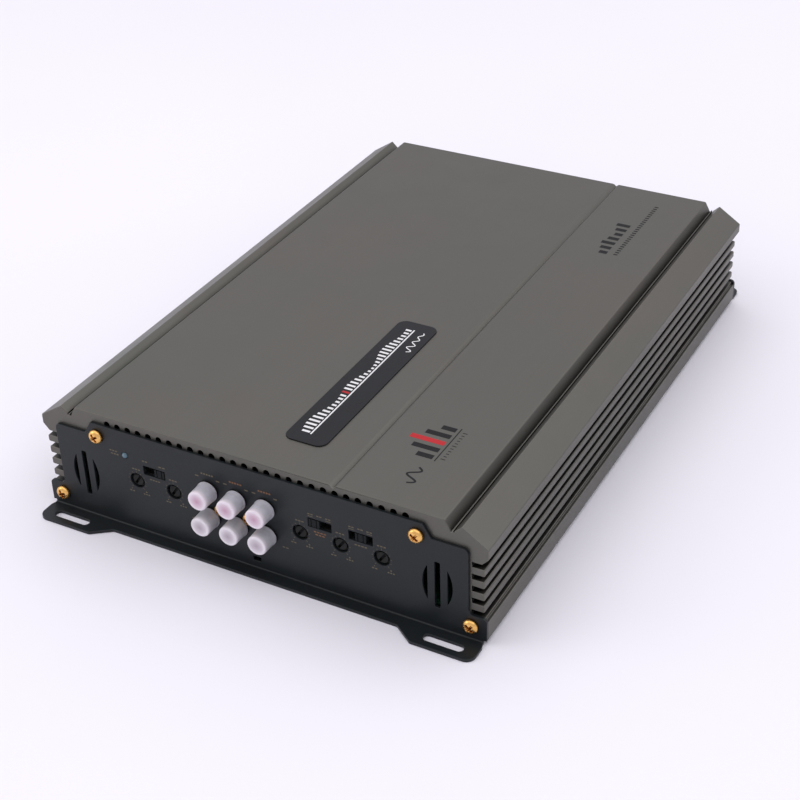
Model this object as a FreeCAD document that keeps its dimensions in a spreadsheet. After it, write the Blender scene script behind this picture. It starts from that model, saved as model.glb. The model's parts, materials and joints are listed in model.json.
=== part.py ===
import FreeCAD, Part
import math
import os

import Sketcher

# Car amplifier, in millimetres.
# Row frame: origin on the mounting plane at the centre of the base, +X to the right along the control
# end, +Y from the control end (front) to the wiring end (rear), +Z up.
# Both end plates and everything on them are drawn facing -Y, and the rear ones are turned half round.

DIMENSIONS = {
    # extruded heatsink: overall section
    "body_width": 228.0,
    "body_length": 318.6,
    "body_height": 59.0,
    "body_base": 1.6,
    "deck_half": 93.9,
    "deck_edge_radius": 1.2,
    "gutter_inner": 96.8,
    "gutter_floor": 53.6,
    "lip_inner": 97.2,
    "lip_outer": 97.9,
    "lip_height": 54.5,
    "seam_outer": 98.4,
    "seam_floor": 53.7,
    "shoulder_inner": 101.8,
    "shoulder_top": 57.7,
    "shoulder_edge": 49.7,
    "shoulder_low": 45.0,
    "shoulder_under": 41.5,
    "shoulder_inset": 3.1,
    "shoulder_radius": 0.8,
    "end_chamfer": 0.4,
    # side fins and foot
    "wall_outer": 106.1,
    "wall_inner": 100.0,
    "fin_tip": 112.2,
    "fin_first": 37.1,
    "fin_pitch": 6.38,
    "fin_count": 4,
    "fin_thickness": 3.55,
    "fin_tip_radius": 0.7,
    "fin_root": 0.5,
    "foot_top": 13.5,
    "foot_top_half": 112.5,
    "foot_lip": 11.9,
    "foot_chamfer": 1.0,
    # cavity, its top grooves and the single line groove in the deck
    "cavity_top": 52.5,
    "cavity_side_top": 46.0,
    "cavity_radius": 1.5,
    "boss_inner": 77.7,
    "boss_outer": 86.4,
    "boss_low": 43.8,
    "groove_count": 28,
    "groove_pitch": 5.63,
    "groove_width": 2.9,
    "groove_top": 56.5,
    "line_start": 39.6,
    "line_width": 3.4,
    "line_depth": 1.3,
    # bent end plates
    "sheet": 1.5,
    "bend_outer": 2.2,
    "bend_inner": 0.7,
    "plate_top": 54.5,
    "plate_top_half": 84.6,
    "plate_shoulder_half": 88.5,
    "plate_shoulder": 48.1,
    "plate_side_half": 105.4,
    "plate_foot": 14.1,
    "plate_fold_half": 112.4,
    "plate_fold_step": 2.4,
    "plate_corner_radius": 2.4,
    "flange_depth": 14.7,
    "flange_middle": 7.8,
    "flange_half": 113.2,
    "ear_outer_start": 84.0,
    "ear_inner_start": 74.5,
    "ear_radius": 4.6,
    "slot_centre": 97.35,
    "slot_reach": 9.04,
    "slot_spacing": 14.7,
    "slot_radius": 2.15,
    "vent_centre": 91.0,
    "vent_height": 24.6,
    "vent_slot_width": 2.6,
    "vent_slot_length": 24.4,
    "vent_chord": 4.7,
    "vent_reach": 7.1,
    "vent_chord_length": 18.4,
    "drain_centre": 0.7,
    "drain_height": 6.4,
    "drain_width": 4.2,
    "drain_length": 2.4,
    # plate screws
    "top_screw_x": 81.7,
    "top_screw_z": 48.1,
    "foot_screw_x": 106.7,
    "foot_screw_z": 8.7,
    "screw_head_radius": 3.55,
    "screw_head_height": 2.7,
    "screw_shank_radius": 1.6,
    "screw_length": 10.0,
    "screw_play": 0.05,
    "screw_clearance": 0.3,
    "head_rounding": 0.7,
    "recess_reach": 0.52,
    "recess_arm": 0.12,
    "recess_depth": 0.7,
    # controls
    "rca_left": -22.2,
    "rca_pitch": 14.8,
    "rca_rise": 14.3,
    "rca_low": 22.5,
    "rca_hole_radius": 4.6,
    "rca_shell_radius": 4.15,
    "rca_shell_wall": 0.35,
    "rca_shell_reach": 9.8,
    "rca_block_depth": 12.0,
    "rca_block_edge": 7.4,
    "rca_seat": 9.0,
    "rca_insert_bore": 1.9,
    "rca_contact_wall": 0.3,
    "rca_screw_head": 3.2,
    "rca_screw_height": 2.6,
    "rca_screw_shift": 1.1,
    "rca_screw_shank": 1.2,
    "cap_reach": 10.9,
    "cap_gap": 0.8,
    "cap_base_radius": 5.15,
    "cap_neck_radius": 5.0,
    "cap_end_radius": 4.8,
    "cap_lip": 0.9,
    "cap_floor": 1.0,
    "pot_left_first": -61.5,
    "pot_right_first": 24.6,
    "pot_pitch": 20.1,
    "pot_height": 29.6,
    "pot_hole_radius": 3.9,
    "pot_rotor_radius": 2.95,
    "pot_rotor_length": 3.4,
    "pot_width": 7.8,
    "pot_slot_width": 1.2,
    "pot_slot_depth": 0.9,
    "pot_slot_span": 1.7,
    "pot_rest_turn": -55.0,
    "pot_front": 0.9,
    "switch_height": 36.8,
    "switch_hole_width": 11.7,
    "switch_hole_height": 4.8,
    "switch_body_width": 14.0,
    "switch_body_height": 6.4,
    "switch_room_width": 12.4,
    "switch_room_height": 5.2,
    "switch_room_depth": 3.0,
    "switch_knob_width": 5.4,
    "switch_knob_height": 4.0,
    "switch_rib_place": 1.3,
    "switch_base_width": 6.4,
    "switch_base_height": 5.0,
    "switch_base_depth": 1.6,
    "switch_step": 2.8,
    "control_gap": 0.4,
    "control_depth": 6.0,
    "led_x": -67.0,
    "led_height": 41.8,
    "led_radius": 1.5,
    "led_flange_radius": 1.9,
    "led_dome": 0.98,
    "led_reach": 2.4,
    "led_back": 3.4,
    "led_lead_radius": 0.25,
    "led_lead_offset": 1.27,
    # circuit boards
    "board_thickness": 1.6,
    "board_top": 13.5,
    "board_half": 98.5,
    "board_end_gap": 1.2,
    "control_board_top": 46.0,
    "left_board_inner": -31.5,
    "left_board_outer": -72.5,
    "right_board_inner": 17.0,
    "right_board_outer": 72.5,
    "header_height": 4.0,
    "header_depth": 2.5,
    "header_share": 0.7,
    "standoff_x": 70.0,
    "standoff_y": 118.0,
    "standoff_flats_half": 2.75,
    "standoff_bore": 1.5,
    "board_screw_head": 2.75,
    "board_screw_shank": 1.45,
    "board_screw_length": 6.0,
    # bottom cover
    "cover_thickness": 1.2,
    "cover_half": 111.0,
    "cover_screw_x": 102.8,
    "cover_screw_y": 140.0,
    "cover_screw_head": 2.4,
    "cover_screw_shank": 1.3,
    "cover_screw_length": 8.0,
    # wiring end
    "power_x": 52.0,
    "power_pitch": 14.0,
    "power_ways": 3,
    "power_bore": 4.3,
    "power_wall": 1.9,
    "power_block_height": 17.0,
    "power_screw_radius": 2.5,
    "power_screw_length": 3.2,
    "terminal_z": 24.0,
    "terminal_reach": 11.5,
    "terminal_depth": 14.0,
    "terminal_edge": 1.8,
    "speaker_x": -43.0,
    "speaker_pitch": 8.0,
    "speaker_ways": 8,
    "speaker_bore": 2.0,
    "speaker_wall": 1.4,
    "speaker_block_height": 12.0,
    "speaker_screw_radius": 1.25,
    "speaker_screw_length": 3.0,
    "hex_share": 0.52,
    "fuse_x": 9.0,
    "fuse_pitch": 9.5,
    "fuse_width": 19.0,
    "fuse_thickness": 5.0,
    "fuse_grip": 6.4,
    "fuse_seat": 5.0,
    "fuse_blade_width": 5.1,
    "fuse_blade_thickness": 0.65,
    "fuse_blade_length": 7.0,
    "fuse_blade_offset": 6.6,
    "fuse_holder_width": 24.0,
    "fuse_holder_height": 20.6,
    "fuse_play": 0.2,
    # power stage
    "core_x": -38.0,
    "core_y": 62.0,
    "core_radius": 27.0,
    "core_hole": 13.0,
    "core_height": 20.0,
    "core_lift": 2.6,
    "wire_thickness": 1.4,
    "wire_gap": 0.3,
    "wire_turns": 30,
    "choke_x": 62.0,
    "choke_y": 88.0,
    "choke_radius": 14.0,
    "choke_hole": 6.5,
    "choke_height": 11.0,
    "choke_turns": 16,
    "capacitor_radius": 11.0,
    "capacitor_height": 34.0,
    "capacitor_pitch": 25.0,
    "capacitor_columns": 3,
    "capacitor_rows": 2,
    "capacitor_x": 1.0,
    "capacitor_y": 20.0,
    "signal_capacitor_radius": 3.2,
    "signal_capacitor_height": 11.0,
    "signal_capacitor_pitch": 11.0,
    "signal_capacitor_count": 10,
    "can_crimp": 0.09,
    "can_score_reach": 0.6,
    "can_score_arm": 0.03,
    "signal_row_y": -128.0,
    "chip_width": 6.4,
    "chip_length": 9.6,
    "chip_height": 3.4,
    "chip_lift": 0.9,
    "chip_pitch": 22.0,
    "chip_count": 6,
    "chip_leg_pitch": 2.54,
    "chip_leg": 0.6,
    "chip_row_y": -106.0,
    "transistor_pitch": 27.0,
    "transistor_count": 8,
    "transistor_width": 10.2,
    "transistor_case": 9.2,
    "transistor_thickness": 4.5,
    "transistor_tab": 1.3,
    "transistor_tab_height": 6.4,
    "transistor_low": 24.0,
    "transistor_lead_width": 1.0,
    "transistor_lead_pitch": 2.54,
    "pad_thickness": 0.3,
    "pad_height": 18.0,
    "pad_length": 205.0,
    "clamp_height": 30.6,
    "clamp_width": 7.0,
    "clamp_thickness": 2.0,
    "clamp_screw_head": 2.75,
    "clamp_screw_shank": 1.45,
    "clamp_screw_hole": 1.5,
    "clamp_screw_length": 11.5,
    "clamp_screw_bite": 5.5,
    # name plate
    "badge_x": 13.85,
    "badge_y": -82.0,
    "badge_width": 20.9,
    "badge_length": 111.5,
    "badge_thickness": 0.6,
    "badge_radius": 4.6,
}


class Size:
    """A size worked out from sheet cells: its value now, and the expression that keeps it bound."""

    def __init__(self, value, text):
        self.value = value
        self.text = text

    def __add__(self, other):
        return Size(self.value + number(other), f"({self.text} + {words(other)})")

    def __radd__(self, other):
        return Size(number(other) + self.value, f"({words(other)} + {self.text})")

    def __sub__(self, other):
        return Size(self.value - number(other), f"({self.text} - {words(other)})")

    def __rsub__(self, other):
        return Size(number(other) - self.value, f"({words(other)} - {self.text})")

    def __mul__(self, other):
        return Size(self.value * number(other), f"({self.text} * {words(other)})")

    def __rmul__(self, other):
        return Size(number(other) * self.value, f"({words(other)} * {self.text})")

    def __truediv__(self, other):
        return Size(self.value / number(other), f"({self.text} / {words(other)})")

    def __neg__(self):
        return Size(-self.value, f"(0 - {self.text})")


def number(size):
    return size.value if isinstance(size, Size) else float(size)


def words(size):
    return size.text if isinstance(size, Size) else repr(float(size))


def whole(size):
    return int(number(size))


def spread(pitch, count):
    """Places one pitch apart, centred on zero."""
    first = pitch * ((number(count) - 1) / -2)
    return [first + pitch * index for index in range(whole(count))]


class Sheet:
    """The driving dimensions as Size objects, read by name."""

    def __init__(self, dimensions):
        for name, value in dimensions.items():
            setattr(self, name, Size(float(value), f"Dimensions.{name}"))


doc = FreeCAD.newDocument("CarAmplifier")
sheet = doc.addObject("Spreadsheet::Sheet", "Dimensions")
for row, (alias, amount) in enumerate(DIMENSIONS.items(), start=1):
    sheet.set(f"A{row}", alias)
    sheet.set(f"B{row}", str(amount))
    sheet.setAlias(f"B{row}", alias)
doc.recompute()

d = Sheet(DIMENSIONS)
NODES = []


# ---------------------------------------------------------------- drawing and feature helpers

def bind(thing, path, size):
    """Tie one property of an object to the sheet."""
    thing.setExpression(path, words(size))


def new_body(name):
    body = doc.addObject("PartDesign::Body", name)
    body.Label = name
    return body


def origin_part(body, role):
    return [item for item in body.Origin.OriginFeatures if item.Role == role][0]


def new_sketch(body, name, plane, offset=0.0):
    """A sketch on an origin plane, moved along the plane's normal (+Z, -Y or +X) by offset."""
    sketch = body.newObject("Sketcher::SketchObject", name)
    sketch.AttachmentSupport = [(origin_part(body, plane), "")]
    sketch.MapMode = "FlatFace"
    sketch.AttachmentOffset = FreeCAD.Placement(FreeCAD.Vector(0, 0, number(offset)), FreeCAD.Rotation())
    if isinstance(offset, Size):
        bind(sketch, "AttachmentOffset.Base.z", offset)
    return sketch


def constrain(sketch, constraints, sizes):
    """Add constraints in one step, then tie the sized ones to the sheet."""
    first = sketch.ConstraintCount
    sketch.addConstraint(constraints)
    for offset, size in sizes.items():
        if isinstance(size, Size):
            bind(sketch, f"Constraints[{first + offset}]", size)


class Rules:
    """Collects the constraints of one outline, and the size that each of them takes."""

    def __init__(self):
        self.items = []
        self.sizes = {}

    def add(self, *arguments):
        self.items.append(Sketcher.Constraint(*arguments))

    def sized(self, size, *arguments):
        self.sizes[len(self.items)] = size
        self.items.append(Sketcher.Constraint(*arguments, number(size)))

    def at(self, geometry, vertex, u, v):
        self.sized(u, "DistanceX", -1, 1, geometry, vertex)
        self.sized(v, "DistanceY", -1, 1, geometry, vertex)


def vector(u, v):
    return FreeCAD.Vector(number(u), number(v), 0)


UP = FreeCAD.Vector(0, 0, 1)


def draw_outline(sketch, corners):
    """Closed outline through corners (u, v) or (u, v, radius), where a radius rounds the corner off."""
    rules = Rules()
    count = len(corners)
    points = [vector(corner[0], corner[1]) for corner in corners]
    starts = []
    ends = []
    for index, corner in enumerate(corners):
        arriving = (points[index] - points[index - 1]).normalize()
        leaving = (points[(index + 1) % count] - points[index]).normalize()
        radius = number(corner[2]) if len(corner) > 2 else 0.0
        cut = radius * math.tan(arriving.getAngle(leaving) / 2)
        starts.append(points[index] - arriving * cut)
        ends.append(points[index] + leaving * cut)
    first = sketch.GeometryCount
    for index in range(count):
        following = (index + 1) % count
        sketch.addGeometry(Part.LineSegment(ends[index], starts[following]), False)
    for index, corner in enumerate(corners):
        before = first + (index - 1) % count
        after = first + index
        if len(corner) == 2:
            rules.add("Coincident", before, 2, after, 1)
            rules.at(after, 1, corner[0], corner[1])
            continue
        round_corner(sketch, rules, corner, (starts[index], points[index], ends[index]), (before, after))
    constrain(sketch, rules.items, rules.sizes)


def round_corner(sketch, rules, corner, places, lines):
    """Arc tangent to both lines of a corner, whose sharp point stays as construction geometry."""
    start, point, end = places
    before, after = lines
    arriving = point - start
    leaving = end - point
    turn = arriving.x * leaving.y - arriving.y * leaving.x
    side = math.copysign(1.0, turn)
    normal = FreeCAD.Vector(-arriving.y, arriving.x, 0).normalize()
    centre = start + normal * (number(corner[2]) * side)
    angles = [math.atan2(place.y - centre.y, place.x - centre.x) for place in (start, end)]
    if turn < 0:
        angles.reverse()
    circle = Part.Circle(centre, UP, number(corner[2]))
    arc = sketch.addGeometry(Part.ArcOfCircle(circle, angles[0], angles[1]), False)
    tip = sketch.addGeometry(Part.Point(point), True)
    arc_start, arc_end = (1, 2) if turn > 0 else (2, 1)
    rules.at(tip, 1, corner[0], corner[1])
    rules.add("PointOnObject", tip, 1, before)
    rules.add("PointOnObject", tip, 1, after)
    rules.add("Tangent", before, 2, arc, arc_start)
    rules.add("Tangent", arc, arc_end, after, 1)
    rules.sized(corner[2], "Radius", arc)


def draw_circle(sketch, u, v, radius):
    rules = Rules()
    circle = sketch.addGeometry(Part.Circle(vector(u, v), UP, number(radius)), False)
    rules.at(circle, 3, u, v)
    rules.sized(radius, "Radius", circle)
    constrain(sketch, rules.items, rules.sizes)


def draw_box(sketch, u, v, width, height, radius=None):
    """Rectangle about the point (u, v), with rounded corners where a radius is given."""
    corners = []
    for across, along in ((-1, -1), (1, -1), (1, 1), (-1, 1)):
        place = (u + across * (width / 2), v + along * (height / 2))
        corners.append(place if radius is None else place + (radius,))
    draw_outline(sketch, corners)


def draw_slot(sketch, u, v, spacing, radius, upright=False):
    """Round-ended slot about (u, v): its end arcs' centres are one spacing apart."""
    rules = Rules()
    step_u, step_v = (0, 1) if upright else (1, 0)
    quarter = math.pi / 2
    ends = []
    for side in (-1, 1):
        centre_u = u + (side * step_u) * (spacing / 2)
        centre_v = v + (side * step_v) * (spacing / 2)
        middle = math.atan2(side * step_v, side * step_u)
        circle = Part.Circle(vector(centre_u, centre_v), UP, number(radius))
        arc = Part.ArcOfCircle(circle, middle - quarter, middle + quarter)
        ends.append(sketch.addGeometry(arc, False))
        rules.at(ends[-1], 3, centre_u, centre_v)
        rules.sized(radius, "Radius", ends[-1])
    low, high = ends
    for here, there in ((low, high), (high, low)):
        a = sketch.getPoint(here, 2)
        b = sketch.getPoint(there, 1)
        line = sketch.addGeometry(Part.LineSegment(a, b), False)
        rules.add("Tangent", here, 2, line, 1)
        rules.add("Tangent", line, 2, there, 1)
    constrain(sketch, rules.items, rules.sizes)


def draw_segment(sketch, chord_u, reach_u, v, length):
    """Circle segment: an upright chord of the given length, bulging out as far as reach_u."""
    rules = Rules()
    half = length / 2
    bulge = reach_u - chord_u
    low = vector(chord_u, v - half)
    high = vector(chord_u, v + half)
    chord = sketch.addGeometry(Part.LineSegment(low, high), False)
    arc = Part.Arc(low, vector(reach_u, v), high)
    bow = sketch.addGeometry(arc, False)
    first, last = (1, 2) if number(bulge) > 0 else (2, 1)
    rules.at(chord, 1, chord_u, v - half)
    rules.at(chord, 2, chord_u, v + half)
    rules.add("Coincident", chord, 1, bow, first)
    rules.add("Coincident", chord, 2, bow, last)
    span = reach_u - chord_u if number(bulge) > 0 else chord_u - reach_u
    rules.sized((half * half + span * span) / (span * 2), "Radius", bow)
    constrain(sketch, rules.items, rules.sizes)


def draw_polygon(sketch, flats_half, sides=6):
    """Regular polygon about the origin, measured from the centre to a flat."""
    reach = flats_half / math.cos(math.pi / sides)
    corners = []
    for index in range(sides):
        angle = 2 * math.pi * index / sides
        corners.append((reach * math.cos(angle), reach * math.sin(angle)))
    draw_outline(sketch, corners)


def draw_cross(sketch, reach, half_width):
    """Cross of two equal arms about the origin."""
    w = half_width
    r = reach
    draw_outline(sketch, [(w, w), (w, r), (-w, r), (-w, w), (-r, w), (-r, -w),
                          (-w, -w), (-w, -r), (w, -r), (w, -w), (r, -w), (r, w)])


def pad(body, sketch, length, both_ways=False, backwards=False):
    feature = body.newObject("PartDesign::Pad", f"{sketch.Name}Pad")
    feature.Profile = sketch
    feature.Length = number(length)
    bind(feature, "Length", length)
    feature.SideType = "Symmetric" if both_ways else "One side"
    feature.Reversed = backwards
    return feature


def pocket(body, sketch, length, both_ways=False, backwards=False):
    """Cut against the sketch plane's normal, or along it when backwards."""
    feature = body.newObject("PartDesign::Pocket", f"{sketch.Name}Pocket")
    feature.Profile = sketch
    feature.Length = number(length)
    bind(feature, "Length", length)
    feature.SideType = "Symmetric" if both_ways else "One side"
    feature.Reversed = backwards
    return feature


def revolve(body, sketch):
    """Turn a half section about the sketch's own upright axis."""
    feature = body.newObject("PartDesign::Revolution", f"{sketch.Name}Turned")
    feature.Profile = sketch
    feature.ReferenceAxis = (sketch, ["V_Axis"])
    feature.Angle = 360
    return feature


def repeat(body, feature, role, length, count, backwards=False):
    """Copies of a feature, evenly spaced over the given length along an origin axis."""
    pattern = body.newObject("PartDesign::LinearPattern", f"{feature.Name}Row")
    pattern.Originals = [feature]
    pattern.Direction = (origin_part(body, role), [""])
    pattern.Reversed = backwards
    pattern.Length = number(length)
    bind(pattern, "Length", length)
    pattern.Occurrences = whole(count)
    bind(pattern, "Occurrences", count)
    body.Tip = pattern
    return pattern


def repeat_round(body, feature, count):
    """Copies of a feature all the way round the body's upright axis."""
    pattern = body.newObject("PartDesign::PolarPattern", f"{feature.Name}Ring")
    pattern.Originals = [feature]
    pattern.Axis = (origin_part(body, "Z_Axis"), [""])
    pattern.Angle = 360
    pattern.Occurrences = whole(count)
    bind(pattern, "Occurrences", count)
    body.Tip = pattern
    return pattern


def edges_where(feature, test):
    """Names of the edges whose every end point passes the test."""
    names = []
    for index, edge in enumerate(feature.Shape.Edges, start=1):
        if all(test(vertex.Point) for vertex in edge.Vertexes):
            names.append(f"Edge{index}")
    return names


def break_edges(body, kind, feature, test, size):
    """Fillet or Chamfer on the edges that pass the test."""
    doc.recompute()
    names = edges_where(feature, test)
    finish = body.newObject(f"PartDesign::{kind}", f"{feature.Name}{kind}")
    finish.Base = (feature, names)
    path = "Radius" if kind == "Fillet" else "Size"
    setattr(finish, path, number(size))
    bind(finish, path, size)
    body.Tip = finish
    return finish


def place(thing, x=0.0, y=0.0, z=0.0, axis=(0, 0, 1), turn=0.0):
    """Put an object in the row frame, turned about an axis first."""
    rotation = FreeCAD.Rotation(FreeCAD.Vector(*axis), turn)
    thing.Placement = FreeCAD.Placement(FreeCAD.Vector(number(x), number(y), number(z)), rotation)
    for path, size in (("x", x), ("y", y), ("z", z)):
        if isinstance(size, Size):
            bind(thing, f"Placement.Base.{path}", size)


def node(thing):
    """Hand an object in as one sub-part."""
    NODES.append(thing)
    return thing


def group(name, master, places, axis=(0, 0, 1), turn=0.0):
    """One sub-part made of equal pieces: links to the master at each (x, y, z) or (x, y, z, axis, turn)."""
    links = []
    for index, spot in enumerate(places, start=1):
        link = doc.addObject("App::Link", f"{name}_{index}")
        link.LinkedObject = master
        spot_axis, spot_turn = spot[3:] if len(spot) > 3 else (axis, turn)
        place(link, spot[0], spot[1], spot[2], spot_axis, spot_turn)
        links.append(link)
    compound = doc.addObject("Part::Compound", name)
    compound.Links = links
    compound.Label = name
    return node(compound)


# ---------------------------------------------------------------- shared places

FRONT = -(d.body_length / 2)
REAR = d.body_length / 2
FACE = FRONT - d.sheet
HALF = d.body_width / 2
BOARD_LOW = d.board_top - d.board_thickness
TOUCH = 0.01
X_AXIS = (1, 0, 0)
Y_AXIS = (0, 1, 0)
Z_AXIS = (0, 0, 1)


def both_sides(right_half):
    """A closed outline from its right half, which runs from the top centre to the bottom centre."""
    left_half = [(-corner[0],) + tuple(corner[1:]) for corner in reversed(right_half)]
    return right_half + left_half


# ---------------------------------------------------------------- extruded heatsink

def make_heatsink():
    body = new_body("heatsink")
    section = new_sketch(body, "Section", "XZ_Plane")
    draw_outline(section, both_sides([
        (d.deck_half, d.body_height, d.deck_edge_radius),
        (d.gutter_inner, d.gutter_floor),
        (d.lip_inner, d.gutter_floor),
        (d.lip_inner, d.lip_height),
        (d.lip_outer, d.lip_height),
        (d.lip_outer, d.seam_floor),
        (d.seam_outer, d.seam_floor),
        (d.seam_outer, d.lip_height),
        (d.shoulder_inner, d.shoulder_top, d.shoulder_radius / 2),
        (HALF, d.shoulder_edge, d.shoulder_radius),
        (HALF, d.shoulder_low, d.shoulder_radius),
        (HALF - d.shoulder_inset, d.shoulder_under, d.shoulder_radius),
        (d.wall_outer, d.shoulder_under),
        (d.wall_outer, d.foot_top),
        (d.foot_top_half, d.foot_top),
        (d.foot_top_half, d.foot_lip),
        (HALF, d.foot_lip),
        (HALF, d.body_base + d.foot_chamfer),
        (HALF - d.foot_chamfer, d.body_base),
        (d.wall_inner, d.body_base),
        (d.wall_inner, d.cavity_side_top, d.cavity_radius),
        (d.boss_outer, d.cavity_side_top),
        (d.boss_outer, d.boss_low, d.cavity_radius),
        (d.boss_inner, d.boss_low, d.cavity_radius),
        (d.boss_inner, d.cavity_top),
    ]))
    pad(body, section, d.body_length, both_ways=True)

    fins = new_sketch(body, "FinPair", "XZ_Plane")
    root = d.wall_outer - d.fin_root
    low = d.fin_first - d.fin_thickness / 2
    high = d.fin_first + d.fin_thickness / 2
    for side in (1, -1):
        draw_outline(fins, [
            (root * side, low),
            (d.fin_tip * side, low, d.fin_tip_radius),
            (d.fin_tip * side, high, d.fin_tip_radius),
            (root * side, high),
        ])
    fin_pair = pad(body, fins, d.body_length, both_ways=True)
    repeat(body, fin_pair, "Z_Axis", d.fin_pitch * (d.fin_count - 1), d.fin_count, backwards=True)

    groove = new_sketch(body, "RoofGroove", "XZ_Plane")
    radius = d.groove_width / 2
    span = d.groove_pitch * (d.groove_count - 1)
    reach = d.groove_top - d.cavity_top
    draw_slot(groove, span / -2, d.groove_top - radius - reach / 2, reach, radius, upright=True)
    first_groove = pocket(body, groove, d.body_length, both_ways=True)
    repeat(body, first_groove, "X_Axis", span, d.groove_count)

    line = new_sketch(body, "DeckLine", "XZ_Plane")
    above = d.body_height + 1
    draw_outline(line, [
        (d.line_start, d.body_height),
        (d.line_start + d.line_width / 2, d.body_height - d.line_depth),
        (d.line_start + d.line_width, d.body_height),
        (d.line_start + d.line_width, above),
        (d.line_start, above),
    ])
    pocket(body, line, d.body_length, both_ways=True)

    channels = new_sketch(body, "ScrewChannels", "XZ_Plane")
    channel = d.screw_shank_radius + d.screw_play
    for side in (1, -1):
        draw_circle(channels, d.top_screw_x * side, d.top_screw_z, channel)
        draw_circle(channels, d.foot_screw_x * side, d.foot_screw_z, channel)
    pocket(body, channels, d.body_length, both_ways=True)

    clamp_holes = new_sketch(body, "ClampHoles", "YZ_Plane")
    for y in clamp_screw_places():
        draw_circle(clamp_holes, y, d.clamp_height, d.clamp_screw_hole)
    pocket(body, clamp_holes, (d.wall_inner + d.clamp_screw_bite) * 2, both_ways=True)

    cover_holes = new_sketch(body, "CoverHoles", "XY_Plane", d.body_base)
    for x, y in cover_screw_places():
        draw_circle(cover_holes, x, y, d.cover_screw_shank + d.screw_play)
    last = pocket(body, cover_holes, d.cover_screw_length, backwards=True)

    def on_deck_end(point):
        return abs(abs(point.y) - REAR.value) < TOUCH and point.z > d.body_height.value - TOUCH

    break_edges(body, "Chamfer", last, on_deck_end, d.end_chamfer)
    return node(body)


def clamp_screw_places():
    """Clamp screws stand midway between each second pair of transistors."""
    pitch = d.transistor_pitch
    return [pitch * step for step in (-3, -1, 1, 3)]


def cover_screw_places():
    return [(d.cover_screw_x * side, d.cover_screw_y * step) for side in (-1, 1) for step in (-1, 0, 1)]


# ---------------------------------------------------------------- bent end plates

def make_end_plate(name, draw_openings):
    """Bent sheet: an upright wall and a mounting flange with slotted ears. The wall's back is y = 0."""
    body = new_body(name)
    wall = new_sketch(body, f"{name}Wall", "XZ_Plane")
    draw_outline(wall, both_sides([
        (d.plate_top_half, d.plate_top, d.bend_inner),
        (d.plate_shoulder_half, d.plate_shoulder, d.bend_inner),
        (d.plate_side_half, d.plate_shoulder, d.plate_corner_radius),
        (d.plate_side_half, d.plate_foot, d.plate_corner_radius),
        (HALF, d.plate_foot, d.plate_corner_radius),
        (HALF, d.plate_fold_step),
        (d.plate_fold_half, d.plate_fold_step),
        (d.plate_fold_half, 0.0),
    ]))
    pad(body, wall, d.sheet)

    flange = new_sketch(body, f"{name}Flange", "XY_Plane")
    draw_outline(flange, both_sides([
        (d.plate_fold_half, d.sheet / -2),
        (d.plate_fold_half, -d.plate_fold_step),
        (d.flange_half, -d.plate_fold_step * 2),
        (d.flange_half, -d.flange_depth, d.ear_radius),
        (d.ear_outer_start, -d.flange_depth, d.bend_outer),
        (d.ear_inner_start, -d.flange_middle, d.bend_outer),
    ]))
    folded = pad(body, flange, d.sheet)

    def on_outer_bend(point):
        return abs(point.y) < TOUCH and abs(point.z) < TOUCH

    def on_inner_bend(point):
        return abs(point.y + d.sheet.value) < TOUCH and abs(point.z - d.sheet.value) < TOUCH

    outer = break_edges(body, "Fillet", folded, on_outer_bend, d.bend_outer)
    break_edges(body, "Fillet", outer, on_inner_bend, d.bend_inner)

    slots = new_sketch(body, f"{name}Slots", "XY_Plane", d.sheet)
    for side in (1, -1):
        draw_slot(slots, d.slot_centre * side, -d.slot_reach, d.slot_spacing, d.slot_radius)
    pocket(body, slots, d.sheet)

    openings = new_sketch(body, f"{name}Openings", "XZ_Plane", d.sheet)
    hole = d.screw_shank_radius + d.screw_clearance
    for side in (1, -1):
        centre = d.vent_centre * side
        draw_circle(openings, d.top_screw_x * side, d.top_screw_z, hole)
        draw_circle(openings, d.foot_screw_x * side, d.foot_screw_z, hole)
        draw_box(openings, centre, d.vent_height, d.vent_slot_width, d.vent_slot_length, d.bend_inner)
        for way in (1, -1):
            draw_segment(openings, centre + way * d.vent_chord, centre + way * d.vent_reach,
                         d.vent_height, d.vent_chord_length)
    draw_openings(openings)
    pocket(body, openings, d.sheet)
    return node(body)


def rca_columns():
    return [d.rca_left + d.rca_pitch * column for column in range(3)]


def rca_rows():
    return [d.rca_low, d.rca_low + d.rca_rise]


def rca_screw_places():
    """Between four sockets, a little nearer to the lower left one."""
    left = d.rca_left + d.rca_pitch / 2 - d.rca_screw_shift
    height = d.rca_low + d.rca_rise / 2 - d.rca_screw_shift
    return [(left + d.rca_pitch * column, height) for column in range(2)]


def pot_places():
    """Two trimmers left of the sockets and three right of them, one pitch apart."""
    left = [d.pot_left_first + d.pot_pitch * step for step in range(2)]
    right = [d.pot_right_first + d.pot_pitch * step for step in range(3)]
    return left + right


def switch_places():
    """A switch stands above the middle of each gap between neighbouring trimmers."""
    left = d.pot_left_first + d.pot_pitch / 2
    right = d.pot_right_first + d.pot_pitch / 2
    return [left, right, right + d.pot_pitch]


# steps from the middle of the travel: the first switch rests right, the second left, the third central
SWITCH_REST = [1, -1, 0]


def draw_control_openings(sketch):
    for x in rca_columns():
        for z in rca_rows():
            draw_circle(sketch, x, z, d.rca_hole_radius)
    for x, z in rca_screw_places():
        draw_circle(sketch, x, z, d.rca_screw_shank + d.screw_clearance)
    for x in pot_places():
        draw_circle(sketch, x, d.pot_height, d.pot_hole_radius)
    for x in switch_places():
        draw_box(sketch, x, d.switch_height, d.switch_hole_width, d.switch_hole_height)
    draw_circle(sketch, d.led_x, d.led_height, d.led_radius + d.screw_play * 2)
    draw_box(sketch, d.drain_centre, d.drain_height, d.drain_width, d.drain_length)


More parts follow.
